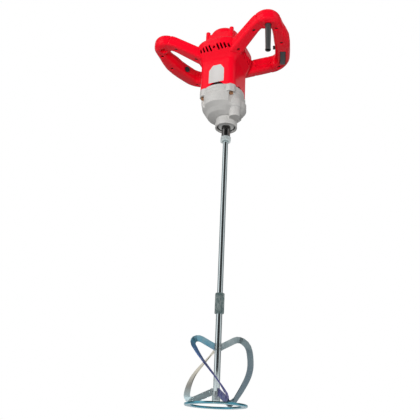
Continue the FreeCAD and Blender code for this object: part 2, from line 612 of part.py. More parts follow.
def top_cover():
    outside = Part.makeLoft(cover_sections(0.0), True, True)
    inside = Part.makeLoft(cover_sections(size["shell_wall"]), True, True)
    bosses, bores = [], []
    for _, side_x, side_y in CORNERS:
        head = Vector(size["motor_offset_x"] + side_x * size["post_reach_x"],
                      size["motor_offset_y"] + side_y * size["post_reach_y"], cover_top)
        depth = size["cap_screw_bite"] + size["cap_screw_floor"]
        down = Vector(0, 0, -1)
        bosses.append(Part.makeCylinder(size["screw_boss_radius"], depth, head, down))
        bores.append(Part.makeCylinder(size["cap_screw_radius"], size["cap_screw_bite"], head, down))
    feature("top_cover", outside.cut(inside).fuse(bosses).cut(bores).removeSplitter())


def motor_cap():
    """Cap on the cover: tapered square block with a round dome and four screw posts."""
    low = cover_top
    centre = Vector(size["motor_offset_x"], size["motor_offset_y"], low)
    wide = size["cap_width"]
    narrow = wide - size["cap_taper"]
    top = low + size["cap_rise"]
    cap = Part.makeLoft([rounded_rectangle(wide, wide, size["cap_corner"], low),
                         rounded_rectangle(narrow, narrow, size["cap_corner"], top)], True, True)
    radius, edge, rise = size["dome_radius"], size["dome_edge"], size["dome_rise"]
    bite = edge * (1 - math.sqrt(0.5))
    base = Vector(0, 0, top - low)
    edges = [Part.makeLine(Vector(0, 0, 0), Vector(radius, 0, 0)),
             Part.makeLine(Vector(radius, 0, 0), Vector(radius, 0, base.z + rise - edge)),
             Part.Arc(Vector(radius, 0, base.z + rise - edge),
                      Vector(radius - bite, 0, base.z + rise - bite),
                      Vector(radius - edge, 0, base.z + rise)).toShape(),
             Part.makeLine(Vector(radius - edge, 0, base.z + rise), Vector(0, 0, base.z + rise)),
             Part.makeLine(Vector(0, 0, base.z + rise), Vector(0, 0, 0))]
    dome = Part.Face(Part.Wire(edges)).revolve(Vector(0, 0, 0), Vector(0, 0, 1), 360)
    dome.translate(centre)
    pieces = [dome]
    holes = []
    for name, side_x, side_y in CORNERS:
        foot = centre + Vector(side_x * size["post_reach_x"], side_y * size["post_reach_y"], 0)
        pieces.append(Part.makeCylinder(size["post_radius"], size["post_rise"], foot))
        head = foot + Vector(0, 0, size["post_rise"] - size["cap_screw_sink"])
        holes.append(Part.makeCylinder(size["cap_screw_head_radius"], size["cap_screw_sink"], head))
        holes.append(Part.makeCylinder(size["cap_screw_radius"], size["post_rise"], foot))
    feature("motor_cap", cap.fuse(pieces).cut(holes).removeSplitter())


def cap_screws():
    head_seat = DECK_TOP + " + cover_rise + post_rise - cap_screw_sink"
    tip = DECK_TOP + " + cover_rise - cap_screw_bite"
    for name, side_x, side_y in CORNERS:
        profile = [("0", tip), ("cap_screw_radius", tip),
                   ("cap_screw_radius", head_seat), ("cap_screw_head_radius", head_seat),
                   ("cap_screw_head_radius", head_seat + " + cap_screw_sink / 2"),
                   ("0", head_seat + " + cap_screw_sink / 2")]
        axis = corner_axis("post_reach_x", "post_reach_y", side_x, side_y)
        node(turned("post_screw_" + name, profile, axis), "cap_screw_" + name)


def motor():
    """Fan, armature, stator, brushes and bearings on the motor axis."""
    tail_foot = BRIDGE_FOOT + " - free_gap"
    node(turned("shaft_turned", [
        ("0", "shaft_foot_height"), ("motor_shaft_radius", "shaft_foot_height"),
        ("motor_shaft_radius", tail_foot), ("motor_tail_radius", tail_foot),
        ("motor_tail_radius", BRIDGE_TOP), ("0", BRIDGE_TOP)], MOTOR), "motor_shaft")
    node(turned("lower_race", tube("motor_shaft_radius + running_clearance", "lower_bearing_radius",
                                   "case_top_height - lower_bearing_width", "case_top_height"), MOTOR),
         "lower_bearing")
    bearing_low = BRIDGE_FOOT + " + bridge_thickness / 2 - upper_bearing_width / 2"
    node(turned("upper_race", tube("motor_tail_radius + running_clearance", "upper_bearing_radius",
                                   bearing_low, bearing_low + " + upper_bearing_width"), MOTOR),
         "upper_bearing")
    bar = block("bridge_bar", "bridge_width", "deck_depth - 2 * shell_wall - 2 * seat_clearance",
                "bridge_thickness", "motor_offset_x - bridge_width / 2",
                "motor_offset_y - deck_depth / 2 + shell_wall + seat_clearance", BRIDGE_FOOT)
    bore = cylinder("bridge_bore", "upper_bearing_radius", BRIDGE_FOOT, BRIDGE_TOP, MOTOR)
    node(cut("bridge_bored", bar, [bore]), "bearing_bridge")

    node(turned("baffle_ring", tube("baffle_radius - baffle_wall", "baffle_radius", "case_top_height",
                                    FAN_TOP + " + baffle_lip"), MOTOR), "fan_baffle")
    node(turned("stator_ring", tube("stator_bore_radius", "body_width / 2 - shell_wall - seat_clearance",
                                    STATOR_FOOT, STATOR_TOP), MOTOR), "stator_core")
    fit = "motor_shaft_radius"
    node(turned("core_turned", tube(fit, "stator_bore_radius - air_gap", STATOR_FOOT, STATOR_TOP), MOTOR),
         "armature_core")
    node(turned("commutator_turned", tube(fit, "commutator_radius", COMMUTATOR_FOOT,
                                          COMMUTATOR_FOOT + " + commutator_length"), MOTOR), "commutator")
    node(turned("brush_disc", tube("brush_plate_bore_radius", "body_width / 2 - shell_wall - seat_clearance",
                                   STATOR_TOP, STATOR_TOP + " + brush_plate_thickness"), MOTOR),
         "brush_plate")
    box_low = STATOR_TOP + " + brush_plate_thickness"
    brush_low = COMMUTATOR_FOOT + " + commutator_length / 2 - brush_thickness / 2"
    face = "commutator_radius + running_clearance"
    for name, side in (("left", -1), ("right", 1)):
        brush_x = "motor_offset_x + " + face if side > 0 else "motor_offset_x - (%s) - brush_reach" % face
        box_x = ("motor_offset_x + %s + brush_reach" % face if side > 0
                 else "motor_offset_x - (%s) - brush_reach - brush_box_length" % face)
        node(block("brush_block_" + name, "brush_reach", "brush_width", "brush_thickness", brush_x,
                   "motor_offset_y - brush_width / 2", brush_low), "carbon_brush_" + name)
        node(block("brush_box_" + name, "brush_box_length", "brush_box_width",
                   brush_low + " + brush_thickness + brush_box_lid - (%s)" % box_low, box_x,
                   "motor_offset_y - brush_box_width / 2", box_low), "brush_holder_" + name)


def cooling_fan():
    """Radial fan under the stator: plate, hub and curved blades."""
    low = size["case_top_height"] + size["fan_gap"]
    plate = Part.makeCylinder(size["fan_radius"], size["fan_plate"])
    hub = Part.makeCylinder(size["fan_hub_radius"], size["fan_plate"] + size["fan_blade_height"])
    blades = []
    count = int(round(size["fan_blade_count"]))
    inner = size["fan_hub_radius"] + size["fan_blade_start"]
    for i in range(count):
        blade = Part.makeBox(size["fan_radius"] - inner - size["fan_rim_inset"], size["fan_blade_thickness"],
                             size["fan_plate"] + size["fan_blade_height"],
                             Vector(inner, -size["fan_blade_thickness"] / 2, 0))
        blade.rotate(Vector(inner, 0, 0), Vector(0, 0, 1), size["fan_blade_lean"])
        blade.rotate(Vector(0, 0, 0), Vector(0, 0, 1), 360.0 * i / count)
        blades.append(blade)
    rim = Part.makeCylinder(size["fan_radius"], size["fan_plate"] + size["fan_blade_height"])
    fan = plate.fuse([hub] + blades).common(rim)
    bore_length = 2 * size["fan_blade_height"] + size["fan_plate"]
    fan = fan.cut(Part.makeCylinder(size["motor_shaft_radius"], bore_length))
    fan.translate(Vector(size["motor_offset_x"], size["motor_offset_y"], low))
    feature("cooling_fan", fan.removeSplitter())


def loop_points():
    """Corner points of the right handle's centre line, from the deck's front round to its rear."""
    names = ("front_root", "front_arm", "front_corner", "grip_middle", "rear_corner", "rear_root")
    return [Vector(size["motor_offset_x"] + size[name + "_x"], size["motor_offset_y"] + size[name + "_y"],
                   deck_foot + size[name + "_rise"]) for name in names]


def loop_wire():
    bends = [size[name + "_bend"] for name in ("front_arm", "front_corner", "grip_middle", "rear_corner")]
    return Part.Wire(rounded_path(loop_points(), bends))


def loop_sections():
    """Half width, height, depth and corner radius of the handle where each run or bend of the loop starts."""
    grip = (size["grip_width"] / 2, size["grip_rise"], size["grip_drop"], size["grip_corner"])
    root = (size["root_width"] / 2, size["root_rise"], size["arm_drop"], size["arm_corner"])
    arm = (size["arm_width"] / 2, size["arm_rise"], size["arm_drop"], size["arm_corner"])
    knob = (size["arm_width"] / 2, size["knob_rise"], size["grip_drop"], size["grip_corner"])
    rear = (size["arm_width"] / 2, size["rear_arm_rise"], size["rear_arm_drop"], size["rear_arm_corner"])
    return [root, arm, arm, arm, knob, knob, grip, grip, rear, rear]


def loop_stations():
    """Points on the loop's centre line, the level direction across it and the section there."""
    stations = []
    edges = loop_wire().Edges
    sections = loop_sections()
    for i, (edge, steps) in enumerate(zip(edges, (1, 3, 1, 9, 1, 4, 1, 9, 1))):
        first, last = edge.ParameterRange
        # the last run also gives its end
        for k in range(steps + (i == len(edges) - 1)):
            share = k / steps
            at = first + (last - first) * share
            along = edge.tangentAt(at)
            if i == GRIP_BEND_EDGE:
                # the grip is at its widest from the middle on
                share = min(1.0, 2 * share)
            section = [a + (b - a) * share for a, b in zip(sections[i], sections[i + 1])]
            if i == FRONT_CORNER_EDGE:
                # the corner swells into a knob
                swell = size["knob_swell"] * math.sin(math.pi * share)
                section = [section[0] + swell, section[1] + swell, section[2], section[3] + swell]
            stations.append((edge.valueAt(at), Vector(-along.y, along.x, 0).normalize(), section))
    return stations


def half_outline(section, upward):
    """Outline of half a handle's section: across and up from the parting line."""
    half, rise, drop, corner = section
    tall = rise if upward > 0 else drop
    steps = 4
    outline = [(-half, 0.0)]
    for side in (-1, 1):
        for k in range(steps + 1):
            swing = math.radians(90.0 * (k if side < 0 else steps - k) / steps)
            outline.append((side * (half - corner + corner * math.cos(swing)),
                            upward * (tall - corner + corner * math.sin(swing))))
    outline.append((half, 0.0))
    return outline if upward > 0 else outline[::-1]


def loop_half(upward):
    """Half the handle's section carried round the loop; upward is 1 for the upper half, -1 for the lower."""
    rings = []
    for point, side, section in loop_stations():
        ring = [point + side * across + Vector(0, 0, up) for across, up in half_outline(section, upward)]
        rings.append(Part.makePolygon(ring + ring[:1]))
    return Part.makeLoft(rings, True, True)


def station(distance):
    """Point and level direction on the right grip, by its distance behind the grip's middle."""
    points = loop_points()
    run = points[4] - points[3]
    point = points[3] + run * (distance / run.Length)
    run.z = 0
    return point, run.normalize()


def screw_places():
    """Handle screws: two in the front arm and three in the grip, on the loop's centre line."""
    edges = loop_wire().Edges
    front, fore_grip, bend, rear_bend = edges[0], edges[4], edges[5], edges[7]
    return [front.valueAt(front.FirstParameter + size["root_screw_share"] * front.Length),
            front.valueAt(front.LastParameter),
            fore_grip.valueAt(fore_grip.FirstParameter + size["corner_screw_share"] * fore_grip.Length),
            bend.valueAt((bend.FirstParameter + bend.LastParameter) / 2),
            rear_bend.valueAt((rear_bend.FirstParameter + rear_bend.LastParameter) / 2)]


def screw_tools(spot):
    """Sunk hole and screw at one place under the handle, as (hole in lower half, hole in upper, screw)."""
    low = spot.z - size["grip_drop"]
    seat = low + size["handle_screw_sink"]
    axis = Vector(spot.x, spot.y, 0)

    def pin(radius, start, stop):
        return Part.makeCylinder(radius, stop - start, axis + Vector(0, 0, start))
    top = spot.z + size["handle_screw_bite"]
    head, shank, slack = size["handle_screw_head_radius"], size["handle_screw_radius"], size["seat_clearance"]
    upper_hole = pin(shank + slack, seat, top)
    lower_hole = pin(head + slack, low - size["grip_drop"], seat).fuse(upper_hole)
    screw = pin(head, seat - size["handle_screw_head"], seat).fuse(pin(shank, seat, top))
    return lower_hole, upper_hole, screw


def trigger_frame():
    """Trigger's place: origin on the grip's underside, x along the grip, z up."""
    point, ahead = station(size["trigger_station"])
    side = Vector(-ahead.y, ahead.x, 0)
    origin = point - side * size["trigger_offset"] - Vector(0, 0, size["grip_drop"])
    turn = math.degrees(math.atan2(ahead.y, ahead.x))
    return FreeCAD.Placement(origin, FreeCAD.Rotation(Vector(0, 0, 1), turn))


def across_prism(wire, width):
    """Extrude a wire that lies in the XZ plane evenly to both sides."""
    solid = Part.Face(wire).extrude(Vector(0, width, 0))
    solid.translate(Vector(0, -width / 2, 0))
    return solid


def trigger_solid():
    """Finger lever with a hollowed face, on a pin at its front end."""
    half, deep = size["trigger_length"] / 2, size["trigger_depth"]
    bulge, heel = size["trigger_bulge"], size["trigger_heel"]
    wire = Part.Wire([
        Part.makeLine(Vector(-half, 0, deep), Vector(half, 0, deep)),
        Part.makeLine(Vector(half, 0, deep), Vector(half, 0, -heel)),
        Part.Arc(Vector(half, 0, -heel), Vector(0, 0, -bulge), Vector(-half, 0, 0)).toShape(),
        Part.makeLine(Vector(-half, 0, 0), Vector(-half, 0, deep))])
    lever = across_prism(wire, size["trigger_width"])
    return lever.fuse(trigger_pin(0.0)).removeSplitter()


def trigger_pin(clearance):
    length = size["trigger_width"] + 2 * size["trigger_pin_overhang"] + 2 * clearance
    return Part.makeCylinder(size["trigger_pin_radius"] + clearance, length,
                             Vector(-size["trigger_length"] / 2 + size["trigger_pin_inset"], -length / 2,
                                    size["trigger_depth"] - size["trigger_pin_inset"]), Vector(0, 1, 0))


def trigger_pocket():
    length = size["trigger_length"] + 2 * size["trigger_end_gap"]
    width = size["trigger_width"] + 2 * size["trigger_side_gap"]
    below = size["grip_drop"]
    tall = size["trigger_depth"] + size["trigger_travel_room"] + below
    return Part.makeBox(length, width, tall, Vector(-length / 2, -width / 2, -below)).fuse(
        trigger_pin(size["running_clearance"]))


def side_axis(distance, drop):
    """Point on the right grip's inner wall and the direction into the grip."""
    point, ahead = station(distance)
    inward = Vector(ahead.y, -ahead.x, 0)
    return point - inward * (size["grip_width"] / 2) - Vector(0, 0, drop), inward


def button_solid(clearance, depth):
    wall, inward = side_axis(size["button_station"], size["button_drop"])
    start = wall - inward * size["button_reach"]
    return Part.makeCylinder(size["button_radius"] + clearance, size["button_reach"] + depth, start, inward)


def dial_solids():
    """Speed dial for the right grip's inner wall, mirrored to the left later: knob, shaft and its bore."""
    wall, inward = side_axis(size["dial_station"], size["dial_drop"])
    knob = Part.makeCylinder(size["dial_radius"], size["dial_reach"] - size["dial_gap"],
                             wall - inward * size["dial_reach"], inward)
    shaft = Part.makeCylinder(size["dial_shaft_radius"], size["dial_shaft_length"] + size["dial_gap"],
                              wall - inward * size["dial_gap"], inward)
    bore = Part.makeCylinder(size["dial_shaft_radius"] + size["running_clearance"],
                             size["dial_shaft_length"] + size["dial_gap"] + size["dial_reach"],
                             wall - inward * size["dial_reach"], inward)
    return knob.fuse(shaft).removeSplitter(), bore


def mirrored(shape):
    return shape.mirror(Vector(size["motor_offset_x"], 0, 0), Vector(1, 0, 0))


def handles():
    """Both handle loops with screws, trigger, lock button, speed dial and cord sleeve."""
    core = housing_outside().fuse(Part.makeLoft(cover_sections(0.0), True, True))
    lower = loop_half(-1).cut(core).fuse(knob_pad())
    upper = loop_half(1).cut(core)
    screws = []
    for spot in screw_places():
        low, high, screw = screw_tools(spot)
        lower = lower.cut(low)
        upper = upper.cut(high)
        screws.append(screw)
    dial, dial_bore = dial_solids()
    feature("handle_left_lower", mirrored(lower.cut(dial_bore).cut(blank_recess())))
    feature("handle_left_upper", mirrored(upper))
    feature("handle_left_screws", mirrored(Part.makeCompound(screws)))
    feature("speed_dial", mirrored(dial))

    pocket = trigger_pocket()
    pocket.Placement = trigger_frame()
    lever = trigger_solid()
    lever.Placement = trigger_frame()
    button_bore = button_solid(size["running_clearance"], size["button_depth"] + size["button_travel"]
                               + size["free_gap"])
    sleeve_bore = sleeve_plug(size["sleeve_top_radius"] + size["seat_clearance"])
    feature("handle_right_lower", lower.cut(pocket).cut(button_bore).cut(sleeve_bore))
    feature("handle_right_upper", upper)
    feature("handle_right_screws", Part.makeCompound(screws))
    feature("trigger", lever)
    feature("lock_button", button_solid(0.0, size["button_depth"]))


def knob_block(length, width, low, high):
    """Upright block at the cord sleeve's place, in line with the grip, between two heights above its seat."""
    solid = Part.makeBox(length, width, high - low, Vector(-length / 2, -width / 2, low))
    _, ahead = station(0.0)
    solid.rotate(Vector(0, 0, 0), Vector(0, 0, 1), math.degrees(math.atan2(ahead.y, ahead.x)))
    solid.translate(Vector(size["motor_offset_x"] + size["sleeve_x"],
                           size["motor_offset_y"] + size["sleeve_y"], sleeve_seat))
    return solid


def knob_pad():
    """Raised pad under the front corner."""
    return knob_block(size["pad_length"], size["pad_width"], -size["pad_drop"], size["pad_root"])


def blank_recess():
    """Square recess in the pad where the other handle has its cord sleeve."""
    return knob_block(size["blank_width"], size["blank_width"], -2 * size["pad_drop"], size["blank_depth"])


def sleeve_plug(radius):
    foot = Vector(size["motor_offset_x"] + size["sleeve_x"], size["motor_offset_y"] + size["sleeve_y"],
                  sleeve_seat + size["sleeve_plug"])
    return Part.makeCylinder(radius, 4 * size["sleeve_plug"], foot, Vector(0, 0, -1))


def cord_sleeve():
    """Tapered rubber sleeve, open at its lower end, plugged into the right handle's front corner."""
    top = SLEEVE_SEAT + " + sleeve_plug"
    end = SLEEVE_SEAT + " - sleeve_length"
    node(turned("sleeve_turned", [
        ("sleeve_bore_radius", end), ("sleeve_end_radius", end), ("sleeve_top_radius", SLEEVE_SEAT),
        ("sleeve_top_radius", top), ("sleeve_bore_radius", top)],
        ("motor_offset_x + sleeve_x", "motor_offset_y + sleeve_y")), "cord_sleeve")


gear_case()
gear_case_screws()
neck_fittings()
spindle_line()
paddle()
motor_housing()
top_cover()
motor_cap()
cap_screws()
motor()
cooling_fan()
handles()
cord_sleeve()
doc.recompute()

for obj in doc.Objects:
    if "Invalid" in obj.State or "Error" in obj.State:
        raise RuntimeError("%s failed: %s" % (obj.Label, obj.State))
for obj in nodes:
    if obj.Shape.isNull() or not obj.Shape.isValid() or not obj.Shape.Solids:
        raise RuntimeError("%s has no valid shape" % obj.Label)

os.makedirs("parts", exist_ok=True)
for obj in nodes:
    obj.Shape.exportStep(os.path.join("parts", obj.Label + ".step"))
    print("%-28s solids %d  faces %d  volume %.1f cm3" % (
        obj.Label, len(obj.Shape.Solids), len(obj.Shape.Faces), obj.Shape.Volume / 1000))
print(len(nodes), "nodes")
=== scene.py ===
"""Looks of the two-handed mixing drill: skins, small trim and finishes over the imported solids."""
import json
import math

import bmesh
import bpy
from mathutils import Matrix, Vector


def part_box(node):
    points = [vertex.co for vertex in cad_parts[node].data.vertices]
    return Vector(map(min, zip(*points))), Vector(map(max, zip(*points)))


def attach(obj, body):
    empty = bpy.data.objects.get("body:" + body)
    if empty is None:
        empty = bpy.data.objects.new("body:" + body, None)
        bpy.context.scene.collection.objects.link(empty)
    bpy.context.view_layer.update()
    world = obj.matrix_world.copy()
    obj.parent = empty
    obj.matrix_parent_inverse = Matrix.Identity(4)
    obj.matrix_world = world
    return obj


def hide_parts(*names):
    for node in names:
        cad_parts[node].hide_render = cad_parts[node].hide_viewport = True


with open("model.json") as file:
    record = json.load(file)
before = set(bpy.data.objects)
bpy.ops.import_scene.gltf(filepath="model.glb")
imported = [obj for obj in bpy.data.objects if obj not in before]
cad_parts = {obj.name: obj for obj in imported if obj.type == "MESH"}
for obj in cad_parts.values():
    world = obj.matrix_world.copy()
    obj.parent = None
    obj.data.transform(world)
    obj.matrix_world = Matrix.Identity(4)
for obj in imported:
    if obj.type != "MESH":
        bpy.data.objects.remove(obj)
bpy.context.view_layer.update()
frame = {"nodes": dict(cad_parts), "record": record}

MM = 0.001
BODIES = frame["record"]["behaviour"]["bodies"]
BODY_OF = {node: body for body, members in BODIES.items() for node in members}
SLOT_OF = {part["node"]: part["material_slot"] for part in frame["record"]["subparts"]}

# Places shared by several pieces, in metres. The left handle mirrors the right one about the motor's axis.
MOTOR_AXIS = Vector((-0.008, -0.007, 0.0))
SPINDLE_AXIS = Vector((0.0, 0.0, 0.0))
GRIP_MIDDLE = Vector((0.137, -0.005, 0.214))
# sine and cosine of the angle by which the right grip stands askew to the Y axis
GRIP_SINE, GRIP_COSINE = 0.31022, 0.95067
GRIP_AHEAD = Vector((-GRIP_SINE, GRIP_COSINE, 0.0))
GRIP_OUTWARD = Vector((GRIP_COSINE, GRIP_SINE, 0.0))


def levelled(vector):
    """A vector without its upward part."""
    return Vector((vector.x, vector.y, 0.0))


# Camera, light and stage

CAMERA_PLACE = Vector((0.46364, -1.0891, -0.70996))
CAMERA_RIGHT = Vector((0.917161, 0.396254, 0.042407))
CAMERA_UP = Vector((0.120444, -0.377054, 0.918327))
CAMERA_LENS = 51.52
FLOOR_HEIGHT = -0.80
# brightness of the studio's walls by the angle from the camera's side, as shares of half a turn
WALL_TONES = [(0.0, 0.05), (0.22, 0.05), (0.28, 1.0), (0.45, 1.0), (0.52, 0.10), (0.66, 0.10),
              (0.71, 0.75), (1.0, 0.75)]
CEILING_TONE = 0.45
FLOOR_TONE = 0.30
# upward part of a direction at which the ceiling and the floor set in, and how fast they do
CEILING_START, FLOOR_START, LEVEL_RISE = 0.70, -0.08, 6.0
# share of the left wall's light that the right wall gives, and how early and how fast it sets in
RIGHT_SHARE, RIGHT_LEAD, RIGHT_RISE = 0.7, 0.2, 2.5
STUDIO_STRENGTH = 0.9
WHITE = (1.0, 1.0, 1.0)
# soft lights: name, place, width in metres, power in watts and colour
LIGHTS = [
    ("key_light", (-0.75, -1.75, 0.60), 1.1, 9.0, (1.0, 0.985, 0.97)),
    ("low_light", (0.45, -1.90, -0.45), 0.6, 26.0, WHITE),
    ("right_fill", (1.7, -0.3, 0.35), 0.9, 3.0, WHITE),
    ("rear_light", (0.4, 1.7, 0.9), 1.0, 10.0, WHITE),
]
LIGHT_TARGET = Vector((0.0, 0.0, 0.05))
FLOOR_HALF_WIDTH = 6.0
FLOOR_PAINT = (0.85, 0.85, 0.85, 1.0)
FLOOR_ROUGHNESS = 0.8
FLOOR_GLOW = 0.22


def set_camera():
    """Camera low in front of the paddle, looking up, as the photograph was taken."""
    data = bpy.data.cameras.new("camera")
    data.lens = CAMERA_LENS
    data.sensor_width = 36.0
    data.clip_end = 50.0
    camera = bpy.data.objects.new("camera", data)
    bpy.context.scene.collection.objects.link(camera)
    back = CAMERA_RIGHT.cross(CAMERA_UP)
    turn = Matrix((CAMERA_RIGHT, CAMERA_UP, back)).transposed()
    camera.matrix_world = Matrix.Translation(CAMERA_PLACE) @ turn.to_4x4()
    bpy.context.scene.camera = camera


def soft_light(name, place, width, power, colour):
    """Round soft box that lights surfaces; gloss mirrors the studio's walls instead of its disc."""
    data = bpy.data.lights.new(name, "AREA")
    data.shape = "DISK"
    data.size = width
    data.energy = power
    data.color = colour
    lamp = bpy.data.objects.new(name, data)
    lamp.location = place
    lamp.rotation_euler = (LIGHT_TARGET - Vector(place)).to_track_quat("-Z", "Y").to_euler()
    lamp.visible_glossy = False
    lamp.visible_camera = False
    bpy.context.scene.collection.objects.link(lamp)


def math_node(tree, operation, first, second=None, clamp=False):
    """Math node fed by sockets or plain numbers; returns its output."""
    step = tree.nodes.new("ShaderNodeMath")
    step.operation = operation
    step.use_clamp = clamp
    for place, value in enumerate((first, second)):
        if value is None:
            continue
        if isinstance(value, (int, float)):
            step.inputs[place].default_value = value
        else:
            tree.links.new(value, step.inputs[place])
    return step.outputs[0]


def vector_node(tree, operation, first, second=None):
    """Vector math node fed by sockets or plain triples; returns the node."""
    step = tree.nodes.new("ShaderNodeVectorMath")
    step.operation = operation
    for place, value in enumerate((first, second)):
        if value is None:
            continue
        if isinstance(value, tuple):
            step.inputs[place].default_value = value
        else:
            tree.links.new(value, step.inputs[place])
    return step


def ramp_node(tree, value, stops):
    """Colour ramp through (place, colour) stops; returns its colour output."""
    step = tree.nodes.new("ShaderNodeValToRGB")
    elements = step.color_ramp.elements
    elements[0].position, elements[0].color = stops[0][0], (*stops[0][1], 1.0)
    elements[1].position, elements[1].color = stops[-1][0], (*stops[-1][1], 1.0)
    for place, colour in stops[1:-1]:
        elements.new(place).color = (*colour, 1.0)
    tree.links.new(value, step.inputs["Fac"])
    return step.outputs["Color"]


def wall_light(tree):
    """Brightness of the surroundings by direction: dark behind the camera, soft boxes at its sides."""
    aim = tree.nodes.new("ShaderNodeTexCoord").outputs["Generated"]
    flat = vector_node(tree, "MULTIPLY", aim, (1.0, 1.0, 0.0)).outputs["Vector"]
    level = vector_node(tree, "NORMALIZE", flat).outputs["Vector"]
    camera_side = levelled(CAMERA_RIGHT.cross(CAMERA_UP)).normalized()
    facing = vector_node(tree, "DOT_PRODUCT", level, tuple(camera_side)).outputs["Value"]
    turn = math_node(tree, "DIVIDE", math_node(tree, "ARCCOSINE", facing), math.pi)
    walls = ramp_node(tree, turn, [(place, (tone, tone, tone)) for place, tone in WALL_TONES])
    rightward = levelled(CAMERA_RIGHT).normalized()
    beside = vector_node(tree, "DOT_PRODUCT", level, tuple(rightward)).outputs["Value"]
    share = math_node(tree, "MULTIPLY", math_node(tree, "ADD", beside, RIGHT_LEAD), RIGHT_RISE, True)
    shade = (RIGHT_SHARE, RIGHT_SHARE, RIGHT_SHARE, 1.0)
    walls = mixed(tree, share, walls, mixed(tree, 1.0, walls, shade, "MULTIPLY"))
    split = tree.nodes.new("ShaderNodeSeparateXYZ")
    tree.links.new(aim, split.inputs["Vector"])
    up = split.outputs["Z"]
    high = math_node(tree, "MULTIPLY", math_node(tree, "SUBTRACT", up, CEILING_START), LEVEL_RISE, True)
    low = math_node(tree, "MULTIPLY", math_node(tree, "SUBTRACT", FLOOR_START, up), LEVEL_RISE, True)
    upper = mixed(tree, high, walls, (CEILING_TONE, CEILING_TONE, CEILING_TONE, 1.0))
    return mixed(tree, low, upper, (FLOOR_TONE, FLOOR_TONE, FLOOR_TONE, 1.0))


def set_studio():
    """White backdrop, walls of soft boxes for gloss, and key, low, fill and rear lights."""
    scene = bpy.context.scene
    scene.view_settings.view_transform = "Standard"
    scene.view_settings.look = "None"
    world = bpy.data.worlds.new("studio")
    scene.world = world
    world.use_nodes = True
    tree = world.node_tree
    tree.nodes.clear()
    out = tree.nodes.new("ShaderNodeOutputWorld")
    seen = tree.nodes.new("ShaderNodeBackground")
    seen.inputs["Color"].default_value = (*WHITE, 1.0)
    seen.inputs["Strength"].default_value = 1.0
    lit = tree.nodes.new("ShaderNodeBackground")
    tree.links.new(wall_light(tree), lit.inputs["Color"])
    lit.inputs["Strength"].default_value = STUDIO_STRENGTH
    mix = tree.nodes.new("ShaderNodeMixShader")
    path = tree.nodes.new("ShaderNodeLightPath")
    tree.links.new(path.outputs["Is Camera Ray"], mix.inputs["Fac"])
    tree.links.new(lit.outputs["Background"], mix.inputs[1])
    tree.links.new(seen.outputs["Background"], mix.inputs[2])
    tree.links.new(mix.outputs["Shader"], out.inputs["Surface"])
    for name, place, width, power, colour in LIGHTS:
        soft_light(name, place, width, power, colour)


def make_floor():
    """Plain pale floor well below the paddle, which the low light leaves alone."""
    work = bmesh.new()
    bmesh.ops.create_grid(work, x_segments=2, y_segments=2, size=FLOOR_HALF_WIDTH)
    bmesh.ops.translate(work, verts=work.verts, vec=(0.0, 0.0, FLOOR_HEIGHT))
    data = bpy.data.meshes.new("floor")
    work.to_mesh(data)
    work.free()
    floor = bpy.data.objects.new("floor", data)
    bpy.context.scene.collection.objects.link(floor)
    finish = bpy.data.materials.new("floor_paint")
    finish.use_nodes = True
    shader = finish.node_tree.nodes["Principled BSDF"]
    shader.inputs["Base Color"].default_value = FLOOR_PAINT
    shader.inputs["Roughness"].default_value = FLOOR_ROUGHNESS
    shader.inputs["Emission Color"].default_value = (*WHITE, 1.0)
    shader.inputs["Emission Strength"].default_value = FLOOR_GLOW
    data.materials.append(finish)
    floor.visible_diffuse = False
    spared = bpy.data.collections.new("spared_by_low_light")
    spared.objects.link(floor)
    spared.collection_objects[0].light_linking.link_state = "EXCLUDE"
    bpy.data.objects["low_light"].light_linking.receiver_collection = spared


# Shader groups shared by the finishes

def new_group(name, inputs, outputs):
    """Empty shader group with named sockets; returns its tree and its two end nodes."""
    tree = bpy.data.node_groups.new(name, "ShaderNodeTree")
    for label, kind, value in inputs:
        socket = tree.interface.new_socket(label, in_out="INPUT", socket_type=kind)
        if value is not None:
            socket.default_value = value
    for label, kind in outputs:
        tree.interface.new_socket(label, in_out="OUTPUT", socket_type=kind)
    return tree, tree.nodes.new("NodeGroupInput"), tree.nodes.new("NodeGroupOutput")


def noise(tree, place, scale, detail=2.0, roughness=0.5):
    """Noise texture read at a vector socket; returns its value output."""
    texture = tree.nodes.new("ShaderNodeTexNoise")
    texture.inputs["Detail"].default_value = detail
    texture.inputs["Roughness"].default_value = roughness
    if isinstance(scale, (int, float)):
        texture.inputs["Scale"].default_value = scale
    else:
        tree.links.new(scale, texture.inputs["Scale"])
    tree.links.new(place, texture.inputs["Vector"])
    return texture.outputs["Fac"]


def mixed(tree, share, first, second, kind="MIX"):
    """Colour mix of two colours or sockets; returns its output."""
    step = tree.nodes.new("ShaderNodeMix")
    step.data_type = "RGBA"
    step.blend_type = kind
    for socket, value in (("Factor", share), ("A", first), ("B", second)):
        target = [s for s in step.inputs if s.name == socket and s.enabled][0]
        if isinstance(value, (int, float, tuple)):
            target.default_value = value
        else:
            tree.links.new(value, target)
    return [s for s in step.outputs if s.enabled][0]


def build_tone_group():
    """Slow drift of tone over a surface, darker and lighter by a share of the colour."""
    tree, start, end = new_group(
        "tone_drift",
        [("Color", "NodeSocketColor", None), ("Place", "NodeSocketVector", None),
         ("Scale", "NodeSocketFloat", 20.0), ("Amount", "NodeSocketFloat", 0.1)],
        [("Color", "NodeSocketColor")])
    cloud = noise(tree, start.outputs["Place"], start.outputs["Scale"], 3.0)
    swing = math_node(tree, "MULTIPLY", math_node(tree, "SUBTRACT", cloud, 0.5), start.outputs["Amount"])
    level = math_node(tree, "ADD", math_node(tree, "MULTIPLY", swing, 2.0), 1.0)
    grey = tree.nodes.new("ShaderNodeCombineColor")
    for name in ("Red", "Green", "Blue"):
        tree.links.new(level, grey.inputs[name])
    tinted = mixed(tree, 1.0, start.outputs["Color"], grey.outputs["Color"], "MULTIPLY")
    tree.links.new(tinted, end.inputs["Color"])
    return tree


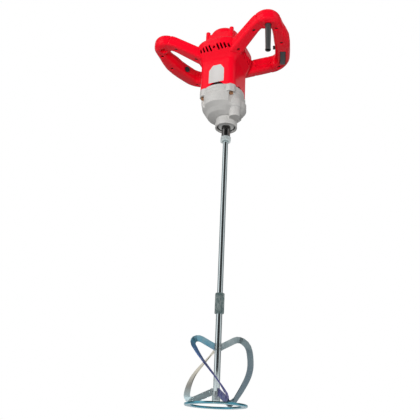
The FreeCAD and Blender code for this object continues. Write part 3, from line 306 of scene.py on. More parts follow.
def build_grain_group():
    """Fine surface grain: a height for bump and a mask of the pits."""
    tree, start, end = new_group(
        "surface_grain",
        [("Place", "NodeSocketVector", None), ("Scale", "NodeSocketFloat", 900.0)],
        [("Height", "NodeSocketFloat"), ("Pits", "NodeSocketFloat")])
    fine = noise(tree, start.outputs["Place"], start.outputs["Scale"], 2.0, 0.6)
    wide = math_node(tree, "MULTIPLY", start.outputs["Scale"], 0.33)
    coarse = noise(tree, start.outputs["Place"], wide, 1.0)
    height = math_node(tree, "ADD", math_node(tree, "MULTIPLY", fine, 0.65),
                       math_node(tree, "MULTIPLY", coarse, 0.35))
    pits = math_node(tree, "MULTIPLY", math_node(tree, "SUBTRACT", 0.5, height), 5.0, True)
    tree.links.new(height, end.inputs["Height"])
    tree.links.new(pits, end.inputs["Pits"])
    return tree


def build_wear_group():
    """Mask of edges that are rubbed bright, broken up by noise."""
    tree, start, end = new_group(
        "edge_rub",
        [("Place", "NodeSocketVector", None), ("Start", "NodeSocketFloat", 0.53),
         ("Breakup", "NodeSocketFloat", 140.0)],
        [("Mask", "NodeSocketFloat")])
    shape = tree.nodes.new("ShaderNodeNewGeometry")
    past = math_node(tree, "SUBTRACT", shape.outputs["Pointiness"], start.outputs["Start"])
    sharp = math_node(tree, "MULTIPLY", past, 16.0, True)
    patch = noise(tree, start.outputs["Place"], start.outputs["Breakup"], 3.0)
    broken = math_node(tree, "MULTIPLY", math_node(tree, "SUBTRACT", patch, 0.35), 3.0, True)
    tree.links.new(math_node(tree, "MULTIPLY", sharp, broken), end.inputs["Mask"])
    return tree


def build_streak_group():
    """Fine drawn lines along Z, for turned and drawn metal."""
    tree, start, end = new_group(
        "drawn_lines",
        [("Place", "NodeSocketVector", None), ("Scale", "NodeSocketFloat", 600.0),
         ("Stretch", "NodeSocketFloat", 0.02)],
        [("Lines", "NodeSocketFloat")])
    scale = tree.nodes.new("ShaderNodeCombineXYZ")
    scale.inputs["X"].default_value = 1.0
    scale.inputs["Y"].default_value = 1.0
    tree.links.new(start.outputs["Stretch"], scale.inputs["Z"])
    long = vector_node(tree, "MULTIPLY", start.outputs["Place"], scale.outputs["Vector"])
    lines = noise(tree, long.outputs["Vector"], start.outputs["Scale"], 4.0, 0.65)
    tree.links.new(lines, end.inputs["Lines"])
    return tree


TONE = build_tone_group()
GRAIN = build_grain_group()
WEAR = build_wear_group()
STREAK = build_streak_group()


# Finishes

class Finish:
    """A material under construction: its tree, its shader and the object's coordinates."""

    def __init__(self, name, colour, roughness, metallic=0.0):
        self.material = bpy.data.materials.new(name)
        self.material.use_nodes = True
        self.tree = self.material.node_tree
        self.shader = self.tree.nodes["Principled BSDF"]
        self.set("Base Color", (*colour, 1.0))
        self.set("Roughness", roughness)
        self.set("Metallic", metallic)
        self.place = self.tree.nodes.new("ShaderNodeTexCoord").outputs["Object"]

    def set(self, socket, value):
        self.shader.inputs[socket].default_value = value

    def feed(self, socket, output):
        self.tree.links.new(output, self.shader.inputs[socket])

    def group(self, tree, **values):
        """Place a shared group, reading the object's coordinates, with its own values."""
        node = self.tree.nodes.new("ShaderNodeGroup")
        node.node_tree = tree
        self.tree.links.new(self.place, node.inputs["Place"])
        for name, value in values.items():
            if isinstance(value, (int, float, tuple)):
                node.inputs[name].default_value = value
            else:
                self.tree.links.new(value, node.inputs[name])
        return node.outputs

    def between(self, output, low, high, start=0.0, end=1.0):
        """Map a value from one range to another, kept inside it."""
        step = self.tree.nodes.new("ShaderNodeMapRange")
        step.inputs["From Min"].default_value = start
        step.inputs["From Max"].default_value = end
        step.inputs["To Min"].default_value = low
        step.inputs["To Max"].default_value = high
        self.tree.links.new(output, step.inputs["Value"])
        return step.outputs["Result"]

    def height(self):
        """The place's height above the neck's face, in metres."""
        split = self.tree.nodes.new("ShaderNodeSeparateXYZ")
        self.tree.links.new(self.place, split.inputs["Vector"])
        return split.outputs["Z"]

    def relief(self, height, depth, edge=0.0):
        """Bump from a height output, over edges that are eased by a small radius."""
        bump = self.tree.nodes.new("ShaderNodeBump")
        bump.inputs["Strength"].default_value = 1.0
        bump.inputs["Distance"].default_value = depth
        self.tree.links.new(height, bump.inputs["Height"])
        if edge:
            ease = self.tree.nodes.new("ShaderNodeBevel")
            ease.samples = 4
            ease.inputs["Radius"].default_value = edge
            self.tree.links.new(ease.outputs["Normal"], bump.inputs["Normal"])
        self.feed("Normal", bump.outputs["Normal"])


def moulded_plastic(name, colour, roughness, grain=1400.0, depth=0.00002, edge=0.0007, drift=0.05, gloss=0.5):
    """Injection-moulded plastic with a fine spark-eroded texture and faint tone drift."""
    finish = Finish(name, colour, roughness)
    finish.set("Specular IOR Level", gloss)
    tone = finish.group(TONE, Color=(*colour, 1.0), Scale=14.0, Amount=drift)
    skin = finish.group(GRAIN, Scale=grain)
    rub = finish.group(WEAR, Start=0.56, Breakup=90.0)
    lighter = tuple(min(1.0, c * 1.15 + 0.01) for c in colour)
    rubbed = finish.between(rub["Mask"], 0.0, 0.35)
    finish.feed("Base Color", mixed(finish.tree, rubbed, tone["Color"], (*lighter, 1.0)))
    finish.feed("Roughness", finish.between(skin["Height"], roughness - 0.05, roughness + 0.05))
    finish.relief(skin["Height"], depth, edge)
    return finish.material


def cast_aluminium(name, colour):
    """Blasted die casting: sandy grain, painted shade on downward-facing surfaces and brighter rubbed edges.
    """
    finish = Finish(name, colour, 0.5, 0.3)
    tone = finish.group(TONE, Color=(*colour, 1.0), Scale=45.0, Amount=0.10)
    sand = finish.group(GRAIN, Scale=1100.0)
    coarse = finish.group(GRAIN, Scale=420.0)
    rub = finish.group(WEAR, Start=0.54, Breakup=160.0)
    dark = tuple(c * 0.55 for c in colour)
    speckled = mixed(finish.tree, finish.between(sand["Pits"], 0.0, 0.4), tone["Color"], (*dark, 1.0))
    mottled = mixed(finish.tree, finish.between(coarse["Pits"], 0.0, 0.22), speckled, (*dark, 1.0))
    # painted shade: surfaces that face downwards are darkened towards half their colour, standing in for the
    # shade they lie in
    facing = finish.tree.nodes.new("ShaderNodeSeparateXYZ")
    shape = finish.tree.nodes.new("ShaderNodeNewGeometry")
    finish.tree.links.new(shape.outputs["Normal"], facing.inputs["Vector"])
    under = finish.between(facing.outputs["Z"], 0.6, 0.0, -0.8, -0.25)
    shaded = mixed(finish.tree, under, mottled, (*(0.5 * c for c in colour), 1.0))
    bright = mixed(finish.tree, finish.between(rub["Mask"], 0.0, 0.6), shaded, (0.80, 0.79, 0.77, 1.0))
    finish.feed("Base Color", bright)
    finish.feed("Roughness", finish.between(sand["Height"], 0.42, 0.66))
    finish.relief(sand["Height"], 0.00022, 0.0006)
    return finish.material


def plated_steel(name, colour, roughness, cloud=0.25, edge=0.0004, streak=0.03, depth=0.00004,
                 spread=0.12):
    """Zinc-plated or polished steel with drawn lines and cloudy tone."""
    finish = Finish(name, colour, roughness, 1.0)
    tone = finish.group(TONE, Color=(*colour, 1.0), Scale=70.0, Amount=cloud)
    lines = finish.group(STREAK, Scale=700.0, Stretch=streak)
    finish.feed("Base Color", tone["Color"])
    smoothest = max(0.05, roughness - spread)
    finish.feed("Roughness", finish.between(lines["Lines"], smoothest, roughness + spread))
    finish.relief(lines["Lines"], depth, edge)
    return finish.material


def mottled_zinc(name, colour, dark):
    """Hot-dipped zinc with darker patches, pits and bright corners."""
    finish = Finish(name, colour, 0.36, 0.9)
    tree = finish.tree
    patch = finish.between(noise(tree, finish.place, 190.0, 4.0, 0.6), 0.0, 1.0, 0.42, 0.62)
    pits = finish.group(GRAIN, Scale=520.0)
    rub = finish.group(WEAR, Start=0.53, Breakup=150.0)
    blotched = mixed(tree, math_node(tree, "MULTIPLY", patch, 0.55), (*colour, 1.0), (*dark, 1.0))
    pitted = mixed(tree, finish.between(pits["Pits"], 0.0, 0.4), blotched, (*dark, 1.0))
    worn = mixed(tree, finish.between(rub["Mask"], 0.0, 0.5), pitted, (0.62, 0.67, 0.66, 1.0))
    finish.feed("Base Color", worn)
    finish.feed("Roughness", finish.between(pits["Height"], 0.26, 0.52))
    finish.relief(pits["Height"], 0.00010, 0.0004)
    return finish.material


# heights between which a blade's colours run, in metres
BLADE_FOOT, BLADE_TOP = -0.600, -0.476


def passivated_strip(name, tints, roughness=0.3):
    """Passivated steel strip: films of colour that change along the blade, with scuffs and bright edges."""
    finish = Finish(name, tints[0][1], roughness, 0.9)
    tree = finish.tree
    along = finish.between(finish.height(), 0.0, 1.0, BLADE_FOOT, BLADE_TOP)
    cloud = noise(tree, finish.place, 26.0, 2.0, 0.5)
    waver = math_node(tree, "MULTIPLY", math_node(tree, "SUBTRACT", cloud, 0.5), 0.30)
    film = ramp_node(tree, math_node(tree, "ADD", along, waver), tints)
    scale = finish.group(GRAIN, Scale=420.0)
    rub = finish.group(WEAR, Start=0.53, Breakup=120.0)
    scuffed = mixed(tree, finish.between(scale["Pits"], 0.0, 0.10), film, (0.45, 0.48, 0.48, 1.0))
    worn = mixed(tree, finish.between(rub["Mask"], 0.0, 0.3), scuffed, (0.62, 0.66, 0.66, 1.0))
    finish.feed("Base Color", worn)
    finish.feed("Roughness", finish.between(scale["Height"], roughness - 0.05, roughness + 0.06))
    finish.relief(scale["Height"], 0.000015, 0.0003)
    return finish.material


RED = (0.94, 0.003, 0.020)
FINISHES = {
    "red_shell": moulded_plastic("red_moulding", RED, 0.18, depth=0.000004, gloss=0.16),
    "casting": cast_aluminium("blasted_casting", (0.685, 0.675, 0.655)),
    "copper_screw": plated_steel("copper_plating", (0.50, 0.26, 0.14), 0.4),
    "dark_screw": plated_steel("blackened_screw", (0.05, 0.045, 0.045), 0.45),
    "white_seal": moulded_plastic("white_seal_plastic", (0.80, 0.80, 0.78), 0.45, 1800.0),
    "bearing_steel": plated_steel("ground_steel", (0.56, 0.57, 0.58), 0.3),
    "black_plastic": moulded_plastic("black_moulding", (0.012, 0.012, 0.013), 0.42),
    "grey_plastic": moulded_plastic("trigger_moulding", (0.030, 0.032, 0.035), 0.34),
    "core_steel": plated_steel("core_laminations", (0.05, 0.05, 0.055), 0.5),
    "bridge_metal": plated_steel("bridge_casting", (0.07, 0.07, 0.07), 0.5),
    "brush_brass": plated_steel("brush_brass", (0.62, 0.42, 0.2), 0.35),
    "carbon": moulded_plastic("pressed_carbon", (0.02, 0.02, 0.02), 0.6),
    "black_oxide": plated_steel("black_oxide", (0.22, 0.215, 0.21), 0.22, 0.3, 0.0004, 0.03, 0.00001),
    "zinc": mottled_zinc("dipped_zinc", (0.15, 0.225, 0.225), (0.08, 0.115, 0.115)),
    "rod_zinc": plated_steel("bright_zinc_rod", (0.76, 0.86, 0.88), 0.13, 0.04, 0.0003, 0.004,
                             0.000004, 0.03),
    "blade_zinc": passivated_strip("slate_film", [(0.0, (0.20, 0.27, 0.31)), (0.55, (0.17, 0.23, 0.27)),
                                                  (0.85, (0.24, 0.31, 0.33)), (1.0, (0.30, 0.37, 0.38))]),
    "sleeve_rubber": moulded_plastic("sleeve_rubber", (0.05, 0.051, 0.053), 0.24, 1100.0, 0.00003),
}
LABEL_FINISH = moulded_plastic("bare_label", (0.62, 0.613, 0.60), 0.35, 500.0, 0.000004, 0.0002, 0.03)
# near-black finish that paints the shade in the gap round the white seal
SEAL_GAP_SHADE_FINISH = moulded_plastic("painted_seal_gap_shade", (0.014, 0.014, 0.015), 0.5, 1500.0)
WRENCH_FLAT_FINISH = plated_steel("milled_flat", (0.30, 0.24, 0.21), 0.34, 0.5)
WELD_FINISH = mottled_zinc("weld_metal", (0.60, 0.67, 0.68), (0.26, 0.29, 0.30))
NUT_FINISH = mottled_zinc("bright_nut", (0.84, 0.92, 0.92), (0.46, 0.53, 0.53))
RING_FINISH = passivated_strip("teal_film", [(0.0, (0.09, 0.38, 0.50)), (0.03, (0.28, 0.50, 0.55)),
                                             (0.08, (0.11, 0.40, 0.52)), (0.15, (0.36, 0.53, 0.54)),
                                             (1.0, (0.3, 0.55, 0.6))], 0.2)
PADDLE_FINISHES = {
    "bottom_ring": RING_FINISH,
    "hub_sleeve": WELD_FINISH,
    "blade_1": FINISHES["blade_zinc"],
    "blade_2": passivated_strip("straw_film", [(0.0, (0.74, 0.95, 1.0)), (0.14, (0.70, 0.88, 0.92)),
                                               (0.3, (0.58, 0.58, 0.54)), (0.55, (0.90, 0.84, 0.69)),
                                               (0.8, (0.93, 0.87, 0.72)), (1.0, (0.70, 0.70, 0.62))]),
    "blade_3": passivated_strip("violet_film", [(0.0, (0.14, 0.12, 0.32)), (0.25, (0.06, 0.05, 0.30)),
                                                (0.5, (0.03, 0.06, 0.31)), (0.75, (0.06, 0.19, 0.44)),
                                                (0.88, (0.15, 0.44, 0.60)), (1.0, (0.30, 0.56, 0.66))]),
}


# Mesh helpers

def merged_copy(node):
    """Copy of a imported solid's mesh with its loose triangles joined."""
    work = bmesh.new()
    work.from_mesh(frame["nodes"][node].data)
    bmesh.ops.remove_doubles(work, verts=work.verts, dist=0.002 * MM)
    return work


def make_piece(work, name, slot, body, stands_for=(), sharp=38.0, finish=None):
    """Turn a bmesh into a finished piece on a body, smooth apart from its sharp edges."""
    limit = math.radians(sharp)
    for face in work.faces:
        face.smooth = True
    for edge in work.edges:
        edge.smooth = len(edge.link_faces) != 2 or edge.calc_face_angle(0.0) < limit
    data = bpy.data.meshes.new(name)
    work.to_mesh(data)
    work.free()
    data.materials.append(finish or FINISHES[slot])
    piece = bpy.data.objects.new(name, data)
    bpy.context.scene.collection.objects.link(piece)
    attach(piece, body)
    if stands_for:
        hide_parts(*stands_for)
    return piece


def remade(work, add_modifier):
    """Mesh that a modifier makes of a bmesh; the modifier is set up on a passing object."""
    data = bpy.data.meshes.new("passing")
    work.to_mesh(data)
    work.free()
    holder = bpy.data.objects.new("passing", data)
    bpy.context.scene.collection.objects.link(holder)
    add_modifier(holder)
    graph = bpy.context.evaluated_depsgraph_get()
    result = bpy.data.meshes.new_from_object(holder.evaluated_get(graph))
    bpy.data.objects.remove(holder)
    bpy.data.meshes.remove(data)
    fresh = bmesh.new()
    fresh.from_mesh(result)
    bpy.data.meshes.remove(result)
    return fresh


def evened(work, voxel, rounds):
    """Remesh a solid evenly and ease its edges, as a casting or moulding has them."""
    def even(holder):
        remesh = holder.modifiers.new("even", "REMESH")
        remesh.mode = "VOXEL"
        remesh.voxel_size = voxel
        remesh.adaptivity = 0.0
    fresh = remade(work, even)
    for _ in range(rounds):
        bmesh.ops.smooth_vert(fresh, verts=fresh.verts, factor=0.5, use_axis_x=True, use_axis_y=True,
                              use_axis_z=True)
    return fresh


def common_part(first, second):
    """The space that two solids share."""
    data = bpy.data.meshes.new("tool")
    second.to_mesh(data)
    second.free()
    tool = bpy.data.objects.new("tool", data)
    bpy.context.scene.collection.objects.link(tool)

    def cut(holder):
        step = holder.modifiers.new("common", "BOOLEAN")
        step.operation = "INTERSECT"
        step.solver = "EXACT"
        step.object = tool
    fresh = remade(first, cut)
    bpy.data.objects.remove(tool)
    bpy.data.meshes.remove(data)
    return fresh


def round_edges(work, edges, width, segments):
    """Round the given edges by a width, where their faces leave room for it."""
    bmesh.ops.bevel(work, geom=edges, offset=width, offset_type="OFFSET", segments=segments, profile=0.5,
                    affect="EDGES", clamp_overlap=True, material=-1)


def thicken(work, faces, step):
    """Draw faces out into a solid by a step."""
    drawn = bmesh.ops.extrude_face_region(work, geom=faces)
    moved = [item for item in drawn["geom"] if isinstance(item, bmesh.types.BMVert)]
    bmesh.ops.translate(work, verts=moved, vec=step)


# angles, in degrees, below which faces are taken as one and above which an edge is sharp
FLAT_ANGLE, SHARP_ANGLE = 0.5, 35.0


def eased(work, width):
    """Round the sharp edges of a solid by a small width."""
    flat = math.radians(FLAT_ANGLE)
    bmesh.ops.dissolve_limit(work, angle_limit=flat, verts=work.verts, edges=work.edges)
    limit = math.radians(SHARP_ANGLE)
    sharp = [edge for edge in work.edges if len(edge.link_faces) == 2 and edge.calc_face_angle(0.0) > limit]
    round_edges(work, sharp, width, 2)
    return work


def spun(profile, axis_place, steps=48):
    """Solid turned about an upright axis from (radius, height) points that run round a closed outline."""
    work = bmesh.new()
    verts = [work.verts.new((axis_place.x + radius, axis_place.y, height)) for radius, height in profile]
    edges = [work.edges.new((verts[i], verts[(i + 1) % len(verts)])) for i in range(len(verts))]
    bmesh.ops.spin(work, geom=verts + edges, cent=(axis_place.x, axis_place.y, 0.0), axis=(0.0, 0.0, 1.0),
                   angle=2 * math.pi, steps=steps, use_merge=True)
    bmesh.ops.remove_doubles(work, verts=work.verts, dist=0.005 * MM)
    bmesh.ops.dissolve_degenerate(work, edges=work.edges, dist=0.001 * MM)
    bmesh.ops.recalc_face_normals(work, faces=work.faces)
    return work


def framed(origin, along, across):
    """Matrix that puts x along a level direction and y across it at a place."""
    turn = Matrix((along, across, along.cross(across))).transposed()
    return Matrix.Translation(origin) @ turn.to_4x4()


def ramped(value, start, end):
    """Smooth rise from 0 at start to 1 at end."""
    share = min(1.0, max(0.0, (value - start) / (end - start)))
    return share * share * (3.0 - 2.0 * share)


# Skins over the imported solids

# width by which the edges of these nodes are rounded, in mm
EDGE_OF = {"trigger": 1.4, "lock_button": 0.9, "bottom_ring": 0.8, "hub_sleeve": 0.8, "motor_cap": 1.2,
           "spindle": 0.5, "lower_rod": 0.5}
HANDLE_HALVES = ["handle_%s_%s" % (side, half) for side in ("left", "right") for half in ("lower", "upper")]
# nodes whose skins are made one by one further down
SHAPED_NODES = {"gear_case", "cord_sleeve", "dust_seal", "lock_nut", "coupling", "speed_dial", "spindle",
                *HANDLE_HALVES}


def skin_nodes():
    """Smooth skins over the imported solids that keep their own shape."""
    for node in sorted(frame["nodes"]):
        if node in SHAPED_NODES:
            continue
        work = merged_copy(node)
        if node in EDGE_OF:
            work = eased(work, EDGE_OF[node] * MM)
        finish = PADDLE_FINISHES.get(node)
        make_piece(work, node + "_skin", SLOT_OF[node], BODY_OF[node], (node,), finish=finish)


# mesh sizes in mm that the casting and the handles are evened to, and the angle of their sharp edges
CASE_VOXEL, HANDLE_VOXEL, EVENED_ANGLE = 0.85, 1.0, 60.0
# the gear case's upper wall, in mm: its radii, its flange's heights and rise, and its grooves
WALL_INNER, WALL_OUTER = 46.0, 50.5
FLANGE_START, FLANGE_END, FLANGE_RISE = 77.2, 78.2, 0.6
GROOVE_HEIGHTS, GROOVE_WIDTH, GROOVE_DEPTH = (76.2, 69.5), 0.9, 0.7
# least share of a surface's normal that has to point outwards for the wall to count as upright
WALL_FACING = 0.8


def hump(distance, width):
    """Bell curve that is 1 in the middle and fades over a width."""
    return math.exp(-(distance / width) ** 2)


def press_case_bands(work):
    """Raised flange and two turned grooves round the gear case's upper wall."""
    for vert in work.verts:
        out = levelled(vert.co - MOTOR_AXIS)
        if not WALL_INNER * MM < out.length < WALL_OUTER * MM:
            continue
        if vert.normal.dot(out.normalized()) < WALL_FACING:
            continue
        flange = FLANGE_RISE * ramped(vert.co.z, FLANGE_START * MM, FLANGE_END * MM)
        grooves = sum(hump(vert.co.z - height * MM, GROOVE_WIDTH * MM) for height in GROOVE_HEIGHTS)
        vert.co += out.normalized() * (flange - GROOVE_DEPTH * grooves) * MM


def skin_gear_case():
    """Gear case with the eased edges of a casting and its turned bands."""
    work = evened(merged_copy("gear_case"), CASE_VOXEL * MM, 1)
    work.normal_update()
    press_case_bands(work)
    make_piece(work, "gear_case_skin", "casting", "machine", ("gear_case",), EVENED_ANGLE)


# lines pressed across the right handle: a point on its middle line and the direction along it, in mm
HANDLE_LINES = [
    ((105.0, -77.0, 217.7), (0.891, -0.356, 0.277)),
    ((136.0, -58.0, 219.0), (0.42, 0.906, -0.05)),
    ((79.0, 74.5, 205.7), (0.81, 0.46, 0.36)),
    ((46.0, 56.0, 191.0), (0.81, 0.46, 0.36)),
]
LINE_REACH, LINE_WIDTH, LINE_DEPTH = 40.0, 1.3, 1.3
# ribs of the right grip, in mm: where they start, fade in and fade out, pitch, depth and slant
RIB_FROM_X, RIB_FADE_IN, RIB_FADE_OUT = 100.0, (-50.0, -40.0), (12.0, 22.0)
RIB_PITCH, RIB_DEPTH, RIB_SLANT = 8.0, 1.1, 0.8
# outward share of a surface's normal over which the ribs set in
RIB_FACING = (0.1, 0.5)


def press_handle(work, mirrored):
    """Collar grooves at the corners and slanting ribs on the grip's outer side."""
    lines = [(Vector(point) * MM, Vector(along).normalized()) for point, along in HANDLE_LINES]
    fade_in = [end * MM for end in RIB_FADE_IN]
    fade_out = [end * MM for end in RIB_FADE_OUT]
    work.normal_update()
    for vert in work.verts:
        place, facing = vert.co.copy(), vert.normal.copy()
        if mirrored:
            place.x, facing.x = 2 * MOTOR_AXIS.x - place.x, -facing.x
        sink = 0.0
        for point, along in lines:
            if (place - point).length < LINE_REACH * MM:
                sink += LINE_DEPTH * hump((place - point).dot(along), LINE_WIDTH * MM)
        if place.x > RIB_FROM_X * MM:
            flank = ramped(facing.dot(GRIP_OUTWARD), *RIB_FACING)
            stretch = ramped(place.y, *fade_in) * (1.0 - ramped(place.y, *fade_out))
            phase = (place.y + RIB_SLANT * place.z) / (RIB_PITCH * MM)
            wave = 0.5 - 0.5 * math.cos(2 * math.pi * phase)
            sink += RIB_DEPTH * flank * stretch * wave ** 2
        vert.co -= vert.normal * sink * MM


def skin_handles():
    """Handle halves with the eased edges of mouldings, their collars and ribs."""
    for node in HANDLE_HALVES:
        work = evened(merged_copy(node), HANDLE_VOXEL * MM, 2)
        press_handle(work, node.startswith("handle_left"))
        make_piece(work, node + "_skin", "red_shell", "machine", (node,), EVENED_ANGLE)


# Pieces of the scene's own

def cord_sleeve():
    """Tapered rubber sleeve with a rolled lip at its open end."""
    low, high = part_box("cord_sleeve")
    axis = (low + high) / 2
    top_radius = (high.x - low.x) / 2
    waist = top_radius - 1.2 * MM
    lip = waist + 0.7 * MM
    bore = 0.6 * top_radius
    profile = [(bore, low.z + 0.8 * MM), (bore + 0.8 * MM, low.z),
               (lip - 0.8 * MM, low.z), (lip, low.z + 0.9 * MM), (lip, low.z + 2.6 * MM),
               (waist, low.z + 4.2 * MM), (waist, low.z + 6.0 * MM),
               (top_radius, high.z - 8.0 * MM), (top_radius, high.z), (bore, high.z)]
    make_piece(spun(profile, axis), "cord_sleeve_skin", "sleeve_rubber", "machine", ("cord_sleeve",))


def dust_seal():
    """White seal with a rolled lip round the spindle, and round it a near-black ring that is painted shade
    for the gap between the seal and the neck.
    """
    low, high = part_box("dust_seal")
    outer = (high.x - low.x) / 2
    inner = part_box("spindle")[1].x + 0.06 * MM
    split = outer - 3.4 * MM
    face = low.z
    lip = [(inner, high.z), (inner, face + 0.6 * MM), (inner + 0.9 * MM, face),
           (inner + 2.0 * MM, face + 0.8 * MM), (split - 1.0 * MM, face + 0.8 * MM),
           (split - 0.4 * MM, face + 0.3 * MM), (split, face + 0.6 * MM), (split, high.z)]
    # groove round the seal, coloured near-black as painted shade for the gap between the seal and the neck
    ring = [(split, high.z), (split, face + 1.6 * MM), (split + 0.7 * MM, face + 1.6 * MM),
            (split + 1.2 * MM, face + 0.4 * MM), (outer - 0.4 * MM, face + 0.4 * MM),
            (outer, face + 0.8 * MM), (outer, high.z)]
    lip_work = spun(lip, SPINDLE_AXIS, 64)
    make_piece(lip_work, "dust_seal_lip", "white_seal", "machine", ("dust_seal",))
    gap_shade_work = spun(ring, SPINDLE_AXIS, 64)
    make_piece(gap_shade_work, "dust_seal_gap_shade", "white_seal", "machine", finish=SEAL_GAP_SHADE_FINISH)


def hexagon_skin(node, chamfer, finish=None):
    """Hexagon bar whose corners are turned off at both ends, as on a nut."""
    low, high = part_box(node)
    corner, flat = high.x, high.y
    drop = chamfer * (corner - flat)
    bar = bmesh.new()
    bmesh.ops.create_cone(bar, cap_ends=True, segments=6, radius1=corner, radius2=corner,
                          depth=high.z - low.z)
    bmesh.ops.rotate(bar, verts=bar.verts, matrix=Matrix.Rotation(math.pi / 6, 3, "Z"))
    bmesh.ops.translate(bar, verts=bar.verts, vec=(0.0, 0.0, (low.z + high.z) / 2))
    wide = corner + 1.0 * MM
    lean = drop * (wide - flat) / (corner - flat)
    profile = [(0.0, low.z), (flat, low.z), (wide, low.z + lean), (wide, high.z - lean), (flat, high.z),
               (0.0, high.z)]
    work = common_part(bar, spun(profile, SPINDLE_AXIS, 72))
    make_piece(work, node + "_skin", "zinc", "mixing_spindle", (node,), 20.0, finish)


def spindle_skin():
    """Black spindle with bare milled wrench flats."""
    work = eased(merged_copy("spindle"), EDGE_OF["spindle"] * MM)
    piece = make_piece(work, "spindle_skin", "black_oxide", "mixing_spindle", ("spindle",))
    piece.data.materials.append(WRENCH_FLAT_FINISH)
    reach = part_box("spindle")[1].x - 0.5 * MM
    for face in piece.data.polygons:
        if abs(face.normal.x) > 0.99 and abs(face.center.x) < reach:
            face.material_index = 1


# the speed dial, in mm: its radius and length, its ridges, the share of the radius between them, its rim
DIAL_RADIUS, DIAL_LENGTH, DIAL_RIM = 6.5, 5.8, 0.7
DIAL_RIDGES, DIAL_VALLEY = 36, 0.93


def dial_skin():
    """Speed dial with a knurled rim and a plain face."""
    joint = [row for row in frame["record"]["behaviour"]["joints"] if row["name"] == "dial_turn"][0]
    inward = Vector(joint["axis"]).normalized()
    centre = Vector(joint["pos_m"])
    radius, reach = DIAL_RADIUS * MM, DIAL_LENGTH * MM
    work = bmesh.new()
    bmesh.ops.create_cone(work, cap_ends=True, segments=2 * DIAL_RIDGES, radius1=radius, radius2=radius,
                          depth=reach)
    for vert in work.verts:
        turn = round(math.atan2(vert.co.y, vert.co.x) / math.pi * DIAL_RIDGES)
        if turn % 2:
            vert.co.x *= DIAL_VALLEY
            vert.co.y *= DIAL_VALLEY
    rims = [edge for edge in work.edges if abs(edge.verts[0].co.z - edge.verts[1].co.z) < 0.1 * MM]
    round_edges(work, rims, DIAL_RIM * MM, 2)
    level = Vector((-inward.y, inward.x, 0.0))
    low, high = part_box("speed_dial")
    ends = [Vector((x, y, 0.0)).dot(inward) for x in (low.x, high.x) for y in (low.y, high.y)]
    # the corners of an askew disc's box lie about this far in front of its face
    front = min(ends) + GRIP_SINE * radius * 2
    start = front - centre.dot(inward)
    place = framed(centre + inward * (start + reach / 2), level, inward.cross(level))
    bmesh.ops.transform(work, verts=work.verts, matrix=place)
    make_piece(work, "speed_dial_skin", "black_plastic", "speed_dial", ("speed_dial",), 50.0)


# where the trigger sits, in mm: the way from the grip's middle to its rear corner, the share of it at which
# the trigger lies, how far outside the middle line it is, and how far below that line the underside is
GRIP_RUN = Vector((-31.0, 95.0, 4.0))
TRIGGER_SHARE, TRIGGER_ASIDE, GRIP_DROP = 0.54, 0.5, 18.0
# the rim round it, in mm: its opening, band and corners, its height, how far it is let in, and its edge
RIM_LENGTH, RIM_WIDTH, RIM_BAND, RIM_CORNER = 48.6, 13.2, 2.0, 3.4
RIM_HEIGHT, RIM_SINK, RIM_EDGE = 3.0, 1.8, 0.7


def trigger_rim():
    """Raised frame round the trigger's pocket in the right grip's underside."""
    centre = GRIP_MIDDLE + GRIP_RUN * TRIGGER_SHARE * MM + GRIP_OUTWARD * TRIGGER_ASIDE * MM
    underside = centre.z - GRIP_DROP * MM
    length, width, band = RIM_LENGTH * MM, RIM_WIDTH * MM, RIM_BAND * MM
    work = bmesh.new()
    bmesh.ops.create_grid(work, x_segments=1, y_segments=1, size=0.5)
    bmesh.ops.scale(work, verts=work.verts, vec=(length + 2 * band, width + 2 * band, 1.0))
    bmesh.ops.bevel(work, geom=work.verts[:], offset=RIM_CORNER * MM, offset_type="OFFSET", segments=5,
                    profile=0.5, affect="VERTICES", material=-1)
    inner = bmesh.ops.inset_region(work, faces=work.faces[:], thickness=band, use_even_offset=True,
                                   use_boundary=True)
    ring = set(inner["faces"])
    bmesh.ops.delete(work, geom=[face for face in work.faces if face not in ring], context="FACES")
    thicken(work, work.faces[:], (0.0, 0.0, -RIM_HEIGHT * MM))
    bmesh.ops.recalc_face_normals(work, faces=work.faces)
    lower = [edge for edge in work.edges if all(vert.co.z < -RIM_HEIGHT / 2 * MM for vert in edge.verts)
             and edge.calc_face_angle(0.0) > math.radians(SHARP_ANGLE)]
    round_edges(work, lower, RIM_EDGE * MM, 3)
    place = Vector((centre.x, centre.y, underside + RIM_SINK * MM))
    bmesh.ops.transform(work, verts=work.verts, matrix=framed(place, GRIP_AHEAD, -GRIP_OUTWARD))
    make_piece(work, "trigger_rim", "red_shell", "machine")


# weld beads, in mm: their radii at the rod and at the ring, their distance from the middle of a blade's
# thickness, how far out the upper and the lower ones lie, how far short of a joint's ends they stop
ROD_BEAD, RING_BEAD, BEAD_ASIDE = 1.5, 1.3, 1.9
UPPER_BEAD_OUT, LOWER_BEAD_OUT, BEAD_MARGIN = 7.2, 8.4, 1.0
# how near the axis a blade meets the rod, how near the ring it stands on it, and the beads' mesh, in mm
ROD_NEAR, RING_NEAR, BEAD_VOXEL = 9.0, 0.4, 0.45
BOTH_SIDES = (-1.0, 1.0)


def add_bead(work, first, last, radius):
    """Row of overlapping balls between two places, whose size swells a little along it."""
    steps = max(2, int((last - first).length / (1.1 * radius)))
    for k in range(steps + 1):
        swell = 1.0 + 0.15 * math.sin(2.4 * k)
        spot = Matrix.Translation(first.lerp(last, k / steps))
        bmesh.ops.create_icosphere(work, subdivisions=2, radius=radius * swell, matrix=spot)


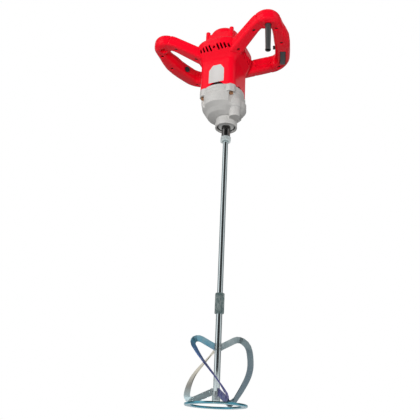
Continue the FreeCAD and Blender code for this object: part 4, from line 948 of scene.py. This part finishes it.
def add_rod_beads(work, points):
    """Upright beads on both faces of a blade, at its upper and lower joint with what it is welded to."""
    middle = (BLADE_FOOT + BLADE_TOP) / 2
    near = [point for point in points if Vector((point.x, point.y)).length < ROD_NEAR * MM]
    for joint in ([p for p in near if p.z > middle], [p for p in near if p.z <= middle]):
        centre = sum(joint, Vector()) / len(joint)
        outward = levelled(centre).normalized()
        across = Vector((-outward.y, outward.x, 0.0))
        reach = UPPER_BEAD_OUT * MM if centre.z > middle else LOWER_BEAD_OUT * MM
        low = Vector((0.0, 0.0, min(p.z for p in joint) + BEAD_MARGIN * MM))
        high = Vector((0.0, 0.0, max(p.z for p in joint) - BEAD_MARGIN * MM))
        for side in BOTH_SIDES:
            base = outward * reach + across * (BEAD_ASIDE * MM * side)
            add_bead(work, base + low, base + high, ROD_BEAD * MM)


def add_ring_beads(work, points, ring_top):
    """Level beads on both faces of a blade, where its foot stands on the ring."""
    feet = [point for point in points if point.z < ring_top + RING_NEAR * MM]
    if not feet:
        return
    centre = sum(feet, Vector()) / len(feet)
    outward = levelled(centre).normalized()
    across = Vector((-outward.y, outward.x, 0.0))
    reach = max((levelled(p) - levelled(centre)).dot(outward) for p in feet)
    for side in BOTH_SIDES:
        base = centre + across * (BEAD_ASIDE * MM * side)
        add_bead(work, base - outward * reach, base + outward * reach, RING_BEAD * MM)


def weld_beads():
    """Beads of weld metal where the blades meet the rod, the hub and the ring."""
    beads = bmesh.new()
    ring_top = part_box("bottom_ring")[1].z
    for node in ("blade_1", "blade_2", "blade_3"):
        points = [vert.co.copy() for vert in frame["nodes"][node].data.vertices]
        add_rod_beads(beads, points)
        add_ring_beads(beads, points, ring_top)
    work = evened(beads, BEAD_VOXEL * MM, 2)
    make_piece(work, "weld_beads", "zinc", "mixing_spindle", sharp=80.0, finish=WELD_FINISH)


# the label, in mm: how far the housing's front stands from the motor's axis, how deep the label is let
# into it, its thickness and corners, and its border's width, slope and height
HOUSING_FRONT, LABEL_SINK, LABEL_THICKNESS, LABEL_CORNER = 43.0, 0.2, 0.6, 1.5
BORDER_WIDTH, BORDER_SLOPE, BORDER_HEIGHT = 1.2, 0.3, 0.15


def label_plate():
    """Bare label on the housing's front, with its upper corners cut off and a thin raised border."""
    left, right = -26.0 * MM, 11.0 * MM
    foot, shoulder, top = 95.0 * MM, 129.0 * MM, 142.0 * MM
    cut = 9.0 * MM
    corners = [(left, foot), (right, foot), (right, shoulder), (right - cut, top), (left + cut, top),
               (left, shoulder)]
    wall = MOTOR_AXIS.y - HOUSING_FRONT * MM
    work = bmesh.new()
    back = work.faces.new([work.verts.new((x, wall + LABEL_SINK * MM, z)) for x, z in corners])
    thicken(work, [back], (0.0, -LABEL_THICKNESS * MM, 0.0))
    across = [edge for edge in work.edges
              if abs(edge.verts[0].co.y - edge.verts[1].co.y) > LABEL_THICKNESS / 2 * MM]
    bmesh.ops.bevel(work, geom=across, offset=LABEL_CORNER * MM, offset_type="OFFSET", segments=4,
                    profile=0.5, affect="EDGES", material=-1)
    bmesh.ops.recalc_face_normals(work, faces=work.faces)
    front = [face for face in work.faces if face.normal.y < -0.9]
    bmesh.ops.inset_region(work, faces=front, thickness=BORDER_WIDTH * MM, use_even_offset=True)
    bmesh.ops.inset_region(work, faces=front, thickness=BORDER_SLOPE * MM, depth=-BORDER_HEIGHT * MM,
                           use_even_offset=True)
    make_piece(work, "label_plate", "white_seal", "machine", finish=LABEL_FINISH)


set_camera()
set_studio()
make_floor()
skin_nodes()
skin_gear_case()
skin_handles()
cord_sleeve()
dust_seal()
hexagon_skin("lock_nut", 1.0, NUT_FINISH)
hexagon_skin("coupling", 0.6)
spindle_skin()
dial_skin()
trigger_rim()
weld_beads()
label_plate()
